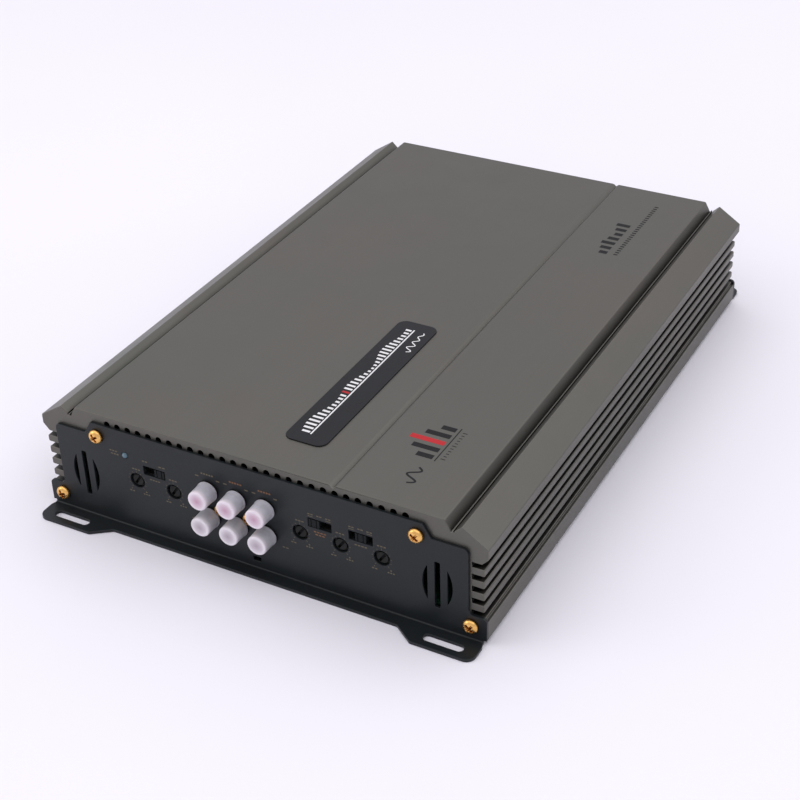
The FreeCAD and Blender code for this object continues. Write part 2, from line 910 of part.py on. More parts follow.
def draw_wiring_openings(sketch):
    """Openings of the wiring end, drawn facing -Y, so x runs the other way from the row frame."""
    gap = d.screw_clearance * 2
    height = d.power_block_height + gap
    draw_box(sketch, -d.power_x, d.terminal_z, d.power_pitch * d.power_ways + gap, height)
    height = d.speaker_block_height + gap
    draw_box(sketch, -d.speaker_x, d.terminal_z, d.speaker_pitch * d.speaker_ways + gap, height)
    draw_box(sketch, -d.fuse_x, d.terminal_z, d.fuse_holder_width + gap, d.fuse_holder_height + gap)


# ---------------------------------------------------------------- screws

def make_screw(name, head, head_height, shank, length, countersunk=False):
    """Cross-recess screw master: head towards -Y, underside of the head at y = 0, shank along +Y."""
    body = new_body(name)
    half = new_sketch(body, f"{name}Half", "XY_Plane")
    tip = length - shank
    if countersunk:
        head_corners = [(0.0, 0.0), (head, 0.0), (shank, head - shank)]
    else:
        crown = head_height * d.head_rounding
        head_corners = [(0.0, -head_height), (head, -head_height, crown), (head, 0.0), (shank, 0.0)]
    draw_outline(half, head_corners + [(shank, tip), (shank / 2, length), (0.0, length)])
    revolve(body, half)
    top = 0.0 if countersunk else head_height
    recess = new_sketch(body, f"{name}Recess", "XZ_Plane", top)
    draw_cross(recess, head * d.recess_reach, head * d.recess_arm)
    pocket(body, recess, shank * d.recess_depth)
    return body


def make_set_screw(name, radius, length):
    """Hexagon-socket set screw master: axis upright, top at z = 0."""
    body = new_body(name)
    disc = new_sketch(body, f"{name}Disc", "XY_Plane")
    draw_circle(disc, 0.0, 0.0, radius)
    pad(body, disc, length, backwards=True)
    socket = new_sketch(body, f"{name}Socket", "XY_Plane")
    draw_polygon(socket, radius * d.hex_share)
    pocket(body, socket, length / 2)
    return body


def make_plate_screws():
    master = make_screw("plate_screw_master", d.screw_head_radius, d.screw_head_height,
                        d.screw_shank_radius, d.screw_length)
    corners = [(d.top_screw_x * side, d.top_screw_z) for side in (-1, 1)]
    corners += [(d.foot_screw_x * side, d.foot_screw_z) for side in (-1, 1)]
    group("front_plate_screws", master, [(x, FACE, z) for x, z in corners])
    group("rear_plate_screws", master, [(x, -FACE, z) for x, z in corners], Z_AXIS, 180)


def make_small_screws():
    rca_screw = make_screw("rca_screw_master", d.rca_screw_head, d.rca_screw_height,
                           d.rca_screw_shank, d.rca_seat)
    group("rca_screws", rca_screw, [(x, FACE, z) for x, z in rca_screw_places()])
    cover_screw = make_screw("cover_screw_master", d.cover_screw_head, d.sheet,
                             d.cover_screw_shank, d.cover_screw_length, countersunk=True)
    low = d.body_base - d.cover_thickness
    group("bottom_cover_screws", cover_screw, [(x, y, low) for x, y in cover_screw_places()], X_AXIS, 90)
    board_screw = make_screw("board_screw_master", d.board_screw_head, d.sheet,
                             d.board_screw_shank, d.board_screw_length)
    places = [(x, y, d.board_top) for x, y in standoff_places()]
    group("board_screws", board_screw, places, X_AXIS, -90)
    clamp_screw = make_screw("clamp_screw_master", d.clamp_screw_head, d.sheet,
                             d.clamp_screw_shank, d.clamp_screw_length)
    places = []
    for side in (-1, 1):
        x = clamp_face() * side
        places += [(x, y, d.clamp_height, Z_AXIS, -90 * side) for y in clamp_screw_places()]
    group("clamp_screws", clamp_screw, places)


# ---------------------------------------------------------------- sockets, caps and controls

def make_rca():
    """One moulded block holds six sockets, whose gold shells stand out through the plate."""
    block = new_body("rca_housing")
    low = d.board_top
    high = d.rca_low + d.rca_rise + d.rca_block_edge
    width = d.rca_pitch * 2 + d.rca_block_edge * 2
    centre = d.rca_left + d.rca_pitch
    outline = new_sketch(block, "RcaBlock", "XZ_Plane")
    draw_box(outline, centre, (low + high) / 2, width, high - low, d.bend_inner)
    pad(block, outline, d.rca_block_depth, backwards=True)
    bores = new_sketch(block, "RcaBores", "XZ_Plane")
    for x in rca_columns():
        for z in rca_rows():
            draw_circle(bores, x, z, d.rca_shell_radius + d.screw_play)
    pocket(block, bores, d.rca_seat)
    screw_holes = new_sketch(block, "RcaScrewHoles", "XZ_Plane")
    for x, z in rca_screw_places():
        draw_circle(screw_holes, x, z, d.rca_screw_shank + d.screw_play)
    pocket(block, screw_holes, d.rca_seat)
    place(block, 0.0, FRONT, 0.0)
    node(block)

    back = d.rca_seat
    front = -d.rca_shell_reach
    outer = d.rca_shell_radius
    inner = outer - d.rca_shell_wall
    shell = turned_master("rca_shell_master", [
        (inner, front), (outer - d.screw_play * 3, front), (outer, front + d.screw_clearance),
        (outer, back), (inner, back)])
    insert_outer = inner - d.screw_play
    insert = turned_master("rca_insert_master", [
        (d.rca_insert_bore, front + d.sheet), (insert_outer, front + d.sheet),
        (insert_outer, back), (d.rca_insert_bore, back)])
    contact_outer = d.rca_insert_bore - d.screw_play
    contact = turned_master("rca_contact_master", [
        (contact_outer - d.rca_contact_wall, front + d.sheet * 2), (contact_outer, front + d.sheet * 2),
        (contact_outer, back), (contact_outer - d.rca_contact_wall, back)])
    rows = rca_rows()
    every = [(x, FRONT, z) for z in rows for x in rca_columns()]
    group("rca_shells", shell, every)
    group("rca_inserts_white", insert, every[:3])
    group("rca_inserts_red", insert, every[3:])
    group("rca_contacts", contact, every)


def turned_master(name, corners):
    """A round piece about the Y axis, from its half section (radius, y)."""
    body = new_body(name)
    half = new_sketch(body, f"{name}Half", "XY_Plane")
    draw_outline(half, corners)
    revolve(body, half)
    return body


def make_dust_caps():
    """Push-on caps: a thin lip at the open end, a slightly tapered wall and a closed flat end."""
    bore = d.rca_shell_radius + d.screw_play
    front = -d.cap_reach
    back = -(d.sheet + d.cap_gap)
    number_of_cap = 0
    for z in reversed(rca_rows()):
        for x in rca_columns():
            number_of_cap += 1
            cap = turned_master(f"dust_cap_{number_of_cap}", [
                (0.0, front), (d.cap_end_radius, front, d.screw_clearance * 2),
                (d.cap_neck_radius, back - d.cap_lip), (d.cap_base_radius, back - d.cap_lip),
                (d.cap_base_radius, back), (bore, back), (bore, front + d.cap_floor),
                (0.0, front + d.cap_floor)])
            place(cap, x, FRONT, z)
            node(cap)


def make_pots():
    """Panel trimmers: a square case with a round recess, and a slotted rotor that turns in it."""
    case_front = d.control_gap
    case = new_body("trimmer_case_master")
    square = new_sketch(case, "TrimmerSquare", "XZ_Plane", -case_front)
    draw_box(square, 0.0, 0.0, d.pot_width, d.pot_width, d.bend_inner)
    pad(case, square, d.control_depth, backwards=True)
    recess = new_sketch(case, "TrimmerRecess", "XZ_Plane", -case_front)
    draw_circle(recess, 0.0, 0.0, d.pot_rotor_radius + d.screw_play)
    pocket(case, recess, d.pot_rotor_length)
    group("trimmer_cases", case, [(x, FRONT, d.pot_height) for x in pot_places()])

    for index, x in enumerate(pot_places(), start=1):
        rotor = new_body(f"trimmer_rotor_{index}")
        half = new_sketch(rotor, f"RotorHalf{index}", "XY_Plane")
        front = -d.pot_front
        back = case_front + d.pot_rotor_length - d.screw_play * 2
        draw_outline(half, [
            (0.0, front), (d.pot_rotor_radius, front, d.screw_clearance),
            (d.pot_rotor_radius, back), (0.0, back)])
        revolve(rotor, half)
        driver = new_sketch(rotor, f"RotorSlot{index}", "XZ_Plane", d.pot_front)
        draw_box(driver, 0.0, 0.0, d.pot_rotor_radius * d.pot_slot_span, d.pot_slot_width)
        pocket(rotor, driver, d.pot_slot_depth)
        place(rotor, x, FRONT, d.pot_height, Y_AXIS, number(d.pot_rest_turn))
        node(rotor)


def make_switches():
    """Slide switches: a case with a shallow room, and a slider whose knob shows in the plate."""
    case_front = d.control_gap
    case = new_body("switch_case_master")
    block = new_sketch(case, "SwitchBlock", "XZ_Plane", -case_front)
    draw_box(block, 0.0, 0.0, d.switch_body_width, d.switch_body_height)
    pad(case, block, d.control_depth, backwards=True)
    room = new_sketch(case, "SwitchRoom", "XZ_Plane", -case_front)
    draw_box(room, 0.0, 0.0, d.switch_room_width, d.switch_room_height)
    pocket(case, room, d.switch_room_depth)
    group("switch_cases", case, [(x, FRONT, d.switch_height) for x in switch_places()])

    for index, (x, rest) in enumerate(zip(switch_places(), SWITCH_REST), start=1):
        slider = new_body(f"switch_slider_{index}")
        floor = case_front + d.switch_room_depth - d.screw_play * 2
        base = new_sketch(slider, f"SliderBase{index}", "XZ_Plane", -floor)
        draw_box(base, 0.0, 0.0, d.switch_base_width, d.switch_base_height)
        pad(slider, base, d.switch_base_depth)
        knob = new_sketch(slider, f"SliderKnob{index}", "XZ_Plane", -floor)
        draw_box(knob, 0.0, 0.0, d.switch_knob_width, d.switch_knob_height, d.screw_clearance)
        pad(slider, knob, floor + d.sheet)
        ribs = new_sketch(slider, f"SliderRibs{index}", "XZ_Plane", d.sheet)
        for way in (-1, 1):
            draw_box(ribs, way * d.switch_rib_place, 0.0, d.screw_clearance, d.switch_knob_height)
        pocket(slider, ribs, d.screw_clearance)
        place(slider, x + rest * d.switch_step, FRONT, d.switch_height)
        node(slider)


def make_led():
    led = new_body("power_led")
    half = new_sketch(led, "LedHalf", "XY_Plane")
    flange = d.control_gap
    draw_outline(half, [
        (0.0, -d.led_reach), (d.led_radius, -d.led_reach, d.led_radius * d.led_dome),
        (d.led_radius, flange), (d.led_flange_radius, flange),
        (d.led_flange_radius, flange * 3), (d.led_radius, flange * 3),
        (d.led_radius, d.led_back), (0.0, d.led_back)])
    revolve(led, half)
    leads = new_sketch(led, "LedLeads", "XZ_Plane", -d.led_back)
    for side in (-1, 1):
        draw_circle(leads, side * d.led_lead_offset / 2, 0.0, d.led_lead_radius)
    pad(led, leads, d.control_gap + d.control_depth - d.led_back, backwards=True)
    place(led, d.led_x, FRONT, d.led_height)
    node(led)


# ---------------------------------------------------------------- boards, standoffs and cover

def standoff_places():
    return [(d.standoff_x * side, d.standoff_y * step) for side in (-1, 1) for step in (-1, 0, 1)]


def make_boards():
    board = new_body("main_board")
    outline = new_sketch(board, "BoardOutline", "XY_Plane")
    draw_box(outline, 0.0, 0.0, d.board_half * 2, d.body_length - d.board_end_gap * 2,
             d.cavity_radius)
    pad(board, outline, d.board_thickness)
    holes = new_sketch(board, "BoardHoles", "XY_Plane", d.board_thickness)
    for x, y in standoff_places():
        draw_circle(holes, x, y, d.board_screw_shank + d.screw_play)
    pocket(board, holes, d.board_thickness)
    place(board, 0.0, 0.0, BOARD_LOW)
    node(board)

    sides = (
        ("left", d.left_board_outer, d.left_board_inner),
        ("right", d.right_board_inner, d.right_board_outer),
    )
    rear_of_controls = FRONT + d.control_gap + d.control_depth
    for side, start, stop in sides:
        upright = new_body(f"control_board_{side}")
        outline = new_sketch(upright, f"ControlBoard{side}", "XZ_Plane")
        draw_box(outline, (start + stop) / 2, (d.board_top + d.control_board_top) / 2,
                 stop - start, d.control_board_top - d.board_top)
        pad(upright, outline, d.board_thickness, backwards=True)
        place(upright, 0.0, rear_of_controls, 0.0)
        node(upright)
        header = new_body(f"board_header_{side}")
        strip = new_sketch(header, f"HeaderStrip{side}", "XY_Plane")
        middle = (start + stop) / 2
        width = (stop - start) * d.header_share
        draw_box(strip, middle, d.header_depth / 2, width, d.header_depth)
        pad(header, strip, d.header_height)
        place(header, 0.0, rear_of_controls + d.board_thickness, d.board_top)
        node(header)

    standoff = new_body("standoff_master")
    hexagon = new_sketch(standoff, "StandoffHexagon", "XY_Plane")
    draw_polygon(hexagon, d.standoff_flats_half)
    pad(standoff, hexagon, BOARD_LOW - d.body_base)
    bore = new_sketch(standoff, "StandoffBore", "XY_Plane")
    draw_circle(bore, 0.0, 0.0, d.standoff_bore)
    pocket(standoff, bore, BOARD_LOW - d.body_base, backwards=True)
    group("board_standoffs", standoff, [(x, y, d.body_base) for x, y in standoff_places()])


def make_bottom_cover():
    cover = new_body("bottom_cover")
    outline = new_sketch(cover, "CoverOutline", "XY_Plane")
    draw_box(outline, 0.0, 0.0, d.cover_half * 2, d.body_length - d.screw_clearance,
             d.cavity_radius)
    pad(cover, outline, d.cover_thickness)
    doc.recompute()
    holes = new_sketch(cover, "CoverScrewHoles", "XY_Plane")
    for x, y in cover_screw_places():
        draw_circle(holes, x, y, d.cover_screw_shank + d.screw_play)
    doc.recompute()
    drilled = cover.newObject("PartDesign::Hole", "CoverHolesCountersunk")
    drilled.Profile = holes
    drilled.Threaded = False
    drilled.DepthType = "ThroughAll"
    drilled.Reversed = True
    drilled.HoleCutType = "Countersink"
    drilled.Diameter = number(d.cover_screw_shank + d.screw_play) * 2
    bind(drilled, "Diameter", (d.cover_screw_shank + d.screw_play) * 2)
    drilled.HoleCutCustomValues = True
    drilled.HoleCutDiameter = number(d.cover_screw_head + d.screw_play) * 2
    bind(drilled, "HoleCutDiameter", (d.cover_screw_head + d.screw_play) * 2)
    drilled.HoleCutCountersinkAngle = 90
    place(cover, 0.0, 0.0, d.body_base - d.cover_thickness)
    node(cover)


def make_badge():
    """Adhesive name plate on the deck, left plain."""
    badge = new_body("name_plate")
    outline = new_sketch(badge, "BadgeOutline", "XY_Plane")
    draw_box(outline, d.badge_x, d.badge_y, d.badge_width, d.badge_length, d.badge_radius)
    pad(badge, outline, d.badge_thickness)
    place(badge, 0.0, 0.0, d.body_height)
    node(badge)


# ---------------------------------------------------------------- wiring end, drawn facing -Y

def add_block_foot(block, width, height):
    """Foot behind the plate that stands the block on the main board."""
    foot = new_sketch(block, f"{block.Name}Foot", "XZ_Plane", -d.screw_clearance)
    top = height / -4
    bottom = d.board_top - d.terminal_z
    draw_box(foot, 0.0, (top + bottom) / 2, width, top - bottom)
    pad(block, foot, d.terminal_depth - d.screw_clearance, backwards=True)


def make_terminal_block(kind, x, pitch, count, bore, wall, height, screw_radius, screw_length):
    """Barrier block: wires enter from the end, and a set screw over each one clamps it."""
    block = new_body(f"{kind}_terminal_block")
    centres = spread(pitch, count)
    depth = d.terminal_reach + d.terminal_depth
    front = d.terminal_reach
    screw_y = -(d.terminal_reach / 2) - d.sheet / 2
    outline = new_sketch(block, f"{kind}Block", "XZ_Plane", front)
    draw_box(outline, 0.0, 0.0, pitch * count, height, d.bend_inner)
    pad(block, outline, depth, backwards=True)
    add_block_foot(block, pitch * count, height)
    outer = bore + wall
    rooms = new_sketch(block, f"{kind}Rooms", "XZ_Plane", front)
    for centre in centres:
        draw_circle(rooms, centre, 0.0, outer + d.screw_play)
    pocket(block, rooms, depth)
    screw_rooms = new_sketch(block, f"{kind}ScrewRooms", "XY_Plane", height / 2)
    for centre in centres:
        draw_circle(screw_rooms, centre, screw_y, screw_radius + d.screw_clearance)
    pocket(block, screw_rooms, height / 2)
    place(block, x, REAR, d.terminal_z, Z_AXIS, 180)
    node(block)

    barrel = new_body(f"{kind}_barrel_master")
    ring = new_sketch(barrel, f"{kind}Ring", "XZ_Plane", front - d.terminal_edge / 2)
    draw_circle(ring, 0.0, 0.0, outer)
    pad(barrel, ring, depth - d.terminal_edge * 2, backwards=True)
    entry = new_sketch(barrel, f"{kind}Entry", "XZ_Plane", front - d.terminal_edge / 2)
    draw_circle(entry, 0.0, 0.0, bore)
    pocket(barrel, entry, d.terminal_reach + d.terminal_depth / 2)
    tapped = new_sketch(barrel, f"{kind}Tapped", "XY_Plane", outer)
    draw_circle(tapped, 0.0, screw_y, screw_radius + d.screw_play)
    pocket(barrel, tapped, outer)
    places = [(x - centre, REAR, d.terminal_z) for centre in centres]
    group(f"{kind}_terminal_barrels", barrel, places, Z_AXIS, 180)

    screw = make_set_screw(f"{kind}_set_screw_master", screw_radius, screw_length)
    top = d.terminal_z + height / 2 - d.terminal_edge / 2
    places = [(x - centre, REAR - screw_y, top) for centre in centres]
    group(f"{kind}_terminal_screws", screw, places)


def make_fuses():
    """Two blade fuses, one above the other, pushed into a holder that sits in the plate."""
    holder = new_body("fuse_holder")
    front = d.sheet + d.terminal_edge
    depth = front + d.terminal_depth
    outline = new_sketch(holder, "HolderOutline", "XZ_Plane", front)
    draw_box(outline, 0.0, 0.0, d.fuse_holder_width, d.fuse_holder_height, d.cavity_radius)
    pad(holder, outline, depth, backwards=True)
    add_block_foot(holder, d.fuse_holder_width, d.fuse_holder_height)
    rooms = new_sketch(holder, "HolderRooms", "XZ_Plane", front)
    blades = new_sketch(holder, "HolderBlades", "XZ_Plane", front)
    play = d.fuse_play * 2
    levels = [d.fuse_pitch / -2, d.fuse_pitch / 2]
    for level in levels:
        draw_box(rooms, 0.0, level, d.fuse_width + play, d.fuse_thickness + play)
        for side in (-1, 1):
            draw_box(blades, side * d.fuse_blade_offset, level, d.fuse_blade_width + play,
                     d.fuse_blade_thickness + play)
    pocket(holder, rooms, d.fuse_seat)
    pocket(holder, blades, d.fuse_seat + d.fuse_blade_length + d.screw_play * 2)
    place(holder, d.fuse_x, REAR, d.terminal_z, Z_AXIS, 180)
    node(holder)

    floor = front - d.fuse_seat + d.screw_play
    for index, level in enumerate(levels, start=1):
        fuse = new_body(f"blade_fuse_{index}")
        cap = new_sketch(fuse, f"FuseCap{index}", "XZ_Plane", floor)
        draw_box(cap, 0.0, 0.0, d.fuse_width, d.fuse_thickness, d.screw_clearance)
        pad(fuse, cap, d.fuse_seat + d.fuse_grip)
        waist = new_sketch(fuse, f"FuseWaist{index}", "XZ_Plane", floor + d.fuse_seat + d.fuse_grip)
        draw_box(waist, 0.0, 0.0, d.fuse_width / 2, d.fuse_thickness / 2, d.screw_clearance)
        pocket(fuse, waist, d.sheet)
        blade = new_sketch(fuse, f"FuseBlade{index}", "XZ_Plane", floor)
        for side in (-1, 1):
            draw_box(blade, side * d.fuse_blade_offset, 0.0, d.fuse_blade_width, d.fuse_blade_thickness)
        pad(fuse, blade, d.fuse_blade_length, backwards=True)
        place(fuse, d.fuse_x, REAR, d.terminal_z + level, Z_AXIS, 180)
        node(fuse)


# ---------------------------------------------------------------- power stage inside

def make_wound_ring(kind, x, y, radius, hole, height, turns):
    """Ferrite ring and its turns of enamelled wire, each turn a closed loop round the ring."""
    lift = d.board_top + d.core_lift
    core = new_body(f"{kind}_core")
    ring = new_sketch(core, f"{kind}Ring", "XY_Plane")
    draw_circle(ring, 0.0, 0.0, radius)
    draw_circle(ring, 0.0, 0.0, hole)
    pad(core, ring, height)
    place(core, x, y, lift)
    node(core)

    winding = new_body(f"{kind}_winding")
    loop = new_sketch(winding, f"{kind}Loop", "XZ_Plane")
    middle = (radius + hole) / 2
    clear = d.wire_gap * 2
    inner_width = radius - hole + clear
    inner_height = height + clear
    thick = d.wire_thickness * 2
    draw_box(loop, middle, height / 2, inner_width, inner_height, d.wire_gap)
    draw_box(loop, middle, height / 2, inner_width + thick, inner_height + thick, d.wire_thickness)
    turn = pad(winding, loop, d.wire_thickness, both_ways=True)
    repeat_round(winding, turn, turns)
    place(winding, x, y, lift)
    node(winding)


def make_can(name, radius, height):
    """Electrolytic capacitor master: sleeve with a crimp near the base and a scored top."""
    body = new_body(name)
    half = new_sketch(body, f"{name}Half", "XZ_Plane")
    crimp = radius * d.can_crimp
    draw_outline(half, [
        (0.0, 0.0), (radius, 0.0, crimp), (radius, crimp * 3), (radius - crimp, crimp * 4),
        (radius, crimp * 5), (radius, height, crimp), (0.0, height)])
    revolve(body, half)
    score = new_sketch(body, f"{name}Score", "XY_Plane", height)
    draw_cross(score, radius * d.can_score_reach, radius * d.can_score_arm)
    pocket(body, score, crimp / 2)
    return body


def make_power_stage():
    make_wound_ring("transformer", d.core_x, d.core_y, d.core_radius, d.core_hole,
                    d.core_height, d.wire_turns)
    make_wound_ring("choke", d.choke_x, d.choke_y, d.choke_radius, d.choke_hole,
                    d.choke_height, d.choke_turns)

    can = make_can("storage_can_master", d.capacitor_radius, d.capacitor_height)
    places = []
    for column in range(whole(d.capacitor_columns)):
        for step in range(whole(d.capacitor_rows)):
            x = d.capacitor_x + d.capacitor_pitch * column
            places.append((x, d.capacitor_y - d.capacitor_pitch * step, d.board_top))
    group("storage_capacitors", can, places)

    small = make_can("signal_can_master", d.signal_capacitor_radius, d.signal_capacitor_height)
    row = spread(d.signal_capacitor_pitch, d.signal_capacitor_count)
    group("signal_capacitors", small, [(x, d.signal_row_y, d.board_top) for x in row])

    chip = new_body("chip_master")
    case = new_sketch(chip, "ChipCase", "XY_Plane", d.chip_lift)
    draw_box(case, 0.0, 0.0, d.chip_length, d.chip_width)
    pad(chip, case, d.chip_height)
    legs = new_sketch(chip, "ChipLegs", "XY_Plane")
    for x in spread(d.chip_leg_pitch, 4):
        for side in (-1, 1):
            draw_box(legs, x, side * d.chip_width / 2, d.chip_leg, d.chip_leg)
    pad(chip, legs, d.chip_lift + d.chip_height / 2)
    row = spread(d.chip_pitch, d.chip_count)
    group("amplifier_chips", chip, [(x, d.chip_row_y, d.board_top) for x in row])


def clamp_face():
    """How far out the clamp bars' inner faces are, where the clamp screws' heads sit."""
    return d.wall_inner - d.pad_thickness - d.transistor_thickness - d.clamp_thickness


def make_transistors():
    """Power transistors stand along both side walls, each row under one clamp bar."""
    body = new_body("transistor_master")
    case = new_sketch(body, "TransistorCase", "YZ_Plane")
    draw_box(case, 0.0, d.transistor_low + d.transistor_case / 2, d.transistor_width, d.transistor_case)
    pad(body, case, d.transistor_thickness)
    tab = new_sketch(body, "TransistorTab", "YZ_Plane")
    tab_middle = d.transistor_low + d.transistor_case + d.transistor_tab_height / 2
    draw_box(tab, 0.0, tab_middle, d.transistor_width, d.transistor_tab_height)
    pad(body, tab, d.transistor_tab)
    leads = new_sketch(body, "TransistorLeads", "XY_Plane", d.board_top)
    lead = d.transistor_lead_width
    for step in (-1, 0, 1):
        draw_box(leads, d.transistor_thickness / 2, step * d.transistor_lead_pitch, lead / 2, lead)
    pad(body, leads, d.transistor_low - d.board_top + lead)
    depth = d.wall_inner - d.pad_thickness
    places = [(-depth, y, 0.0) for y in spread(d.transistor_pitch, d.transistor_count)]
    places += [(depth, y, 0.0, Z_AXIS, 180) for y in spread(d.transistor_pitch, d.transistor_count)]
    group("power_transistors", body, places)

    strip = new_body("thermal_pad_master")
    face = new_sketch(strip, "PadFace", "YZ_Plane")
    draw_box(face, 0.0, d.transistor_low + d.pad_height / 2, d.pad_length, d.pad_height)
    pad(strip, face, d.pad_thickness)
    pierce_for_clamp(strip, d.pad_thickness)
    group("thermal_pads", strip, [(-d.wall_inner, 0.0, 0.0), (depth, 0.0, 0.0)])

    bar = new_body("clamp_bar_master")
    face = new_sketch(bar, "BarFace", "YZ_Plane")
    draw_box(face, 0.0, d.clamp_height, d.pad_length, d.clamp_width, d.cavity_radius)
    pad(bar, face, d.clamp_thickness)
    pierce_for_clamp(bar, d.clamp_thickness)
    inner = clamp_face()
    group("clamp_bars", bar, [(-inner - d.clamp_thickness, 0.0, 0.0), (inner, 0.0, 0.0)])


def pierce_for_clamp(body, thickness):
    holes = new_sketch(body, f"{body.Name}Holes", "YZ_Plane", thickness)
    for y in clamp_screw_places():
        draw_circle(holes, y, d.clamp_height, d.clamp_screw_hole)
    pocket(body, holes, thickness)


# ---------------------------------------------------------------- assemble, check and write

def check_document():
    """Stop if any object failed, any cut removed nothing, or any sub-part is not a sound solid."""
    faults = []
    for item in doc.Objects:
        if "Invalid" in item.State or "Error" in item.State:
            faults.append(f"{item.Name}: {item.State}")
        if item.isDerivedFrom("PartDesign::Pocket") and item.BaseFeature is not None:
            if item.Shape.Volume >= item.BaseFeature.Shape.Volume - 1e-6:
                faults.append(f"{item.Name}: cuts nothing")
    for item in NODES:
        shape = item.Shape
        if shape.isNull() or not shape.isValid() or not shape.Solids:
            faults.append(f"{item.Label}: no sound solid")
    if faults:
        raise RuntimeError("\n".join(faults))


make_heatsink()
place(make_end_plate("front_plate", draw_control_openings), 0.0, FRONT, 0.0)
place(make_end_plate("rear_plate", draw_wiring_openings), 0.0, REAR, 0.0, Z_AXIS, 180)
make_plate_screws()
make_rca()
make_dust_caps()
make_pots()
make_switches()
make_led()
make_boards()
make_bottom_cover()
make_small_screws()
make_terminal_block("power", d.power_x, d.power_pitch, d.power_ways, d.power_bore, d.power_wall,
                    d.power_block_height, d.power_screw_radius, d.power_screw_length)
make_terminal_block("speaker", d.speaker_x, d.speaker_pitch, d.speaker_ways, d.speaker_bore, d.speaker_wall,
                    d.speaker_block_height, d.speaker_screw_radius, d.speaker_screw_length)
make_fuses()
make_power_stage()
make_transistors()
make_badge()
doc.recompute()
check_document()

os.makedirs("parts", exist_ok=True)
for item in NODES:
    item.Shape.exportStep(f"parts/{item.Label}.step")
print(f"{len(NODES)} sub-parts")
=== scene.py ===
import json
import math
import random

import bmesh
import bpy
from mathutils import Matrix, Vector


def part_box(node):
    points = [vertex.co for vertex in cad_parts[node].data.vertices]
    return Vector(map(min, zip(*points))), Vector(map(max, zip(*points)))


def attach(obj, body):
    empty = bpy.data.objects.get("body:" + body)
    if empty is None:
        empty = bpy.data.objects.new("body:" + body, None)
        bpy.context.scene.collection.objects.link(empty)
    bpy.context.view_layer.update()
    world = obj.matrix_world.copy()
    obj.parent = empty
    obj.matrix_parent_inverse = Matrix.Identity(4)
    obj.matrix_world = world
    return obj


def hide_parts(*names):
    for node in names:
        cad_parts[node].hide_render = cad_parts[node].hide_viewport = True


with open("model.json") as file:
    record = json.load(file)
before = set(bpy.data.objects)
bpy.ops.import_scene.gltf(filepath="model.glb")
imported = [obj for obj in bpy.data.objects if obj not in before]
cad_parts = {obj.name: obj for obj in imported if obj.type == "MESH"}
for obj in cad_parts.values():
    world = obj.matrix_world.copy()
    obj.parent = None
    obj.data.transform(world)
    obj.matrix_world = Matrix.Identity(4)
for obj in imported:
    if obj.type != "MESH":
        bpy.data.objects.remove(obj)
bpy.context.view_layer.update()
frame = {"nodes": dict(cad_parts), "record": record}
MM = 0.001
PRINT_ROOM = 0.04 * MM          # left under the top of the name plate's CAD box for the print on it
PRINT_GAP = 0.004               # mm between a print and the surface below it
PLATE_HEAD = 2.7 * MM           # height of the heads of the end plates' screws
RCA_HEAD = 2.6 * MM             # height of the heads of the screws between the sockets
INK_FILM = 0.02                 # mm of ink on painted and anodised metal
PLATE_FILM = 0.03               # mm of ink on the name plate
NODES = frame["nodes"]
BODY_OF = {node: body for body, nodes in frame["record"]["behaviour"]["bodies"].items() for node in nodes}
SLOT_OF = {part["node"]: part["material_slot"] for part in frame["record"]["subparts"]}


# ---------------------------------------------------------------- material helpers

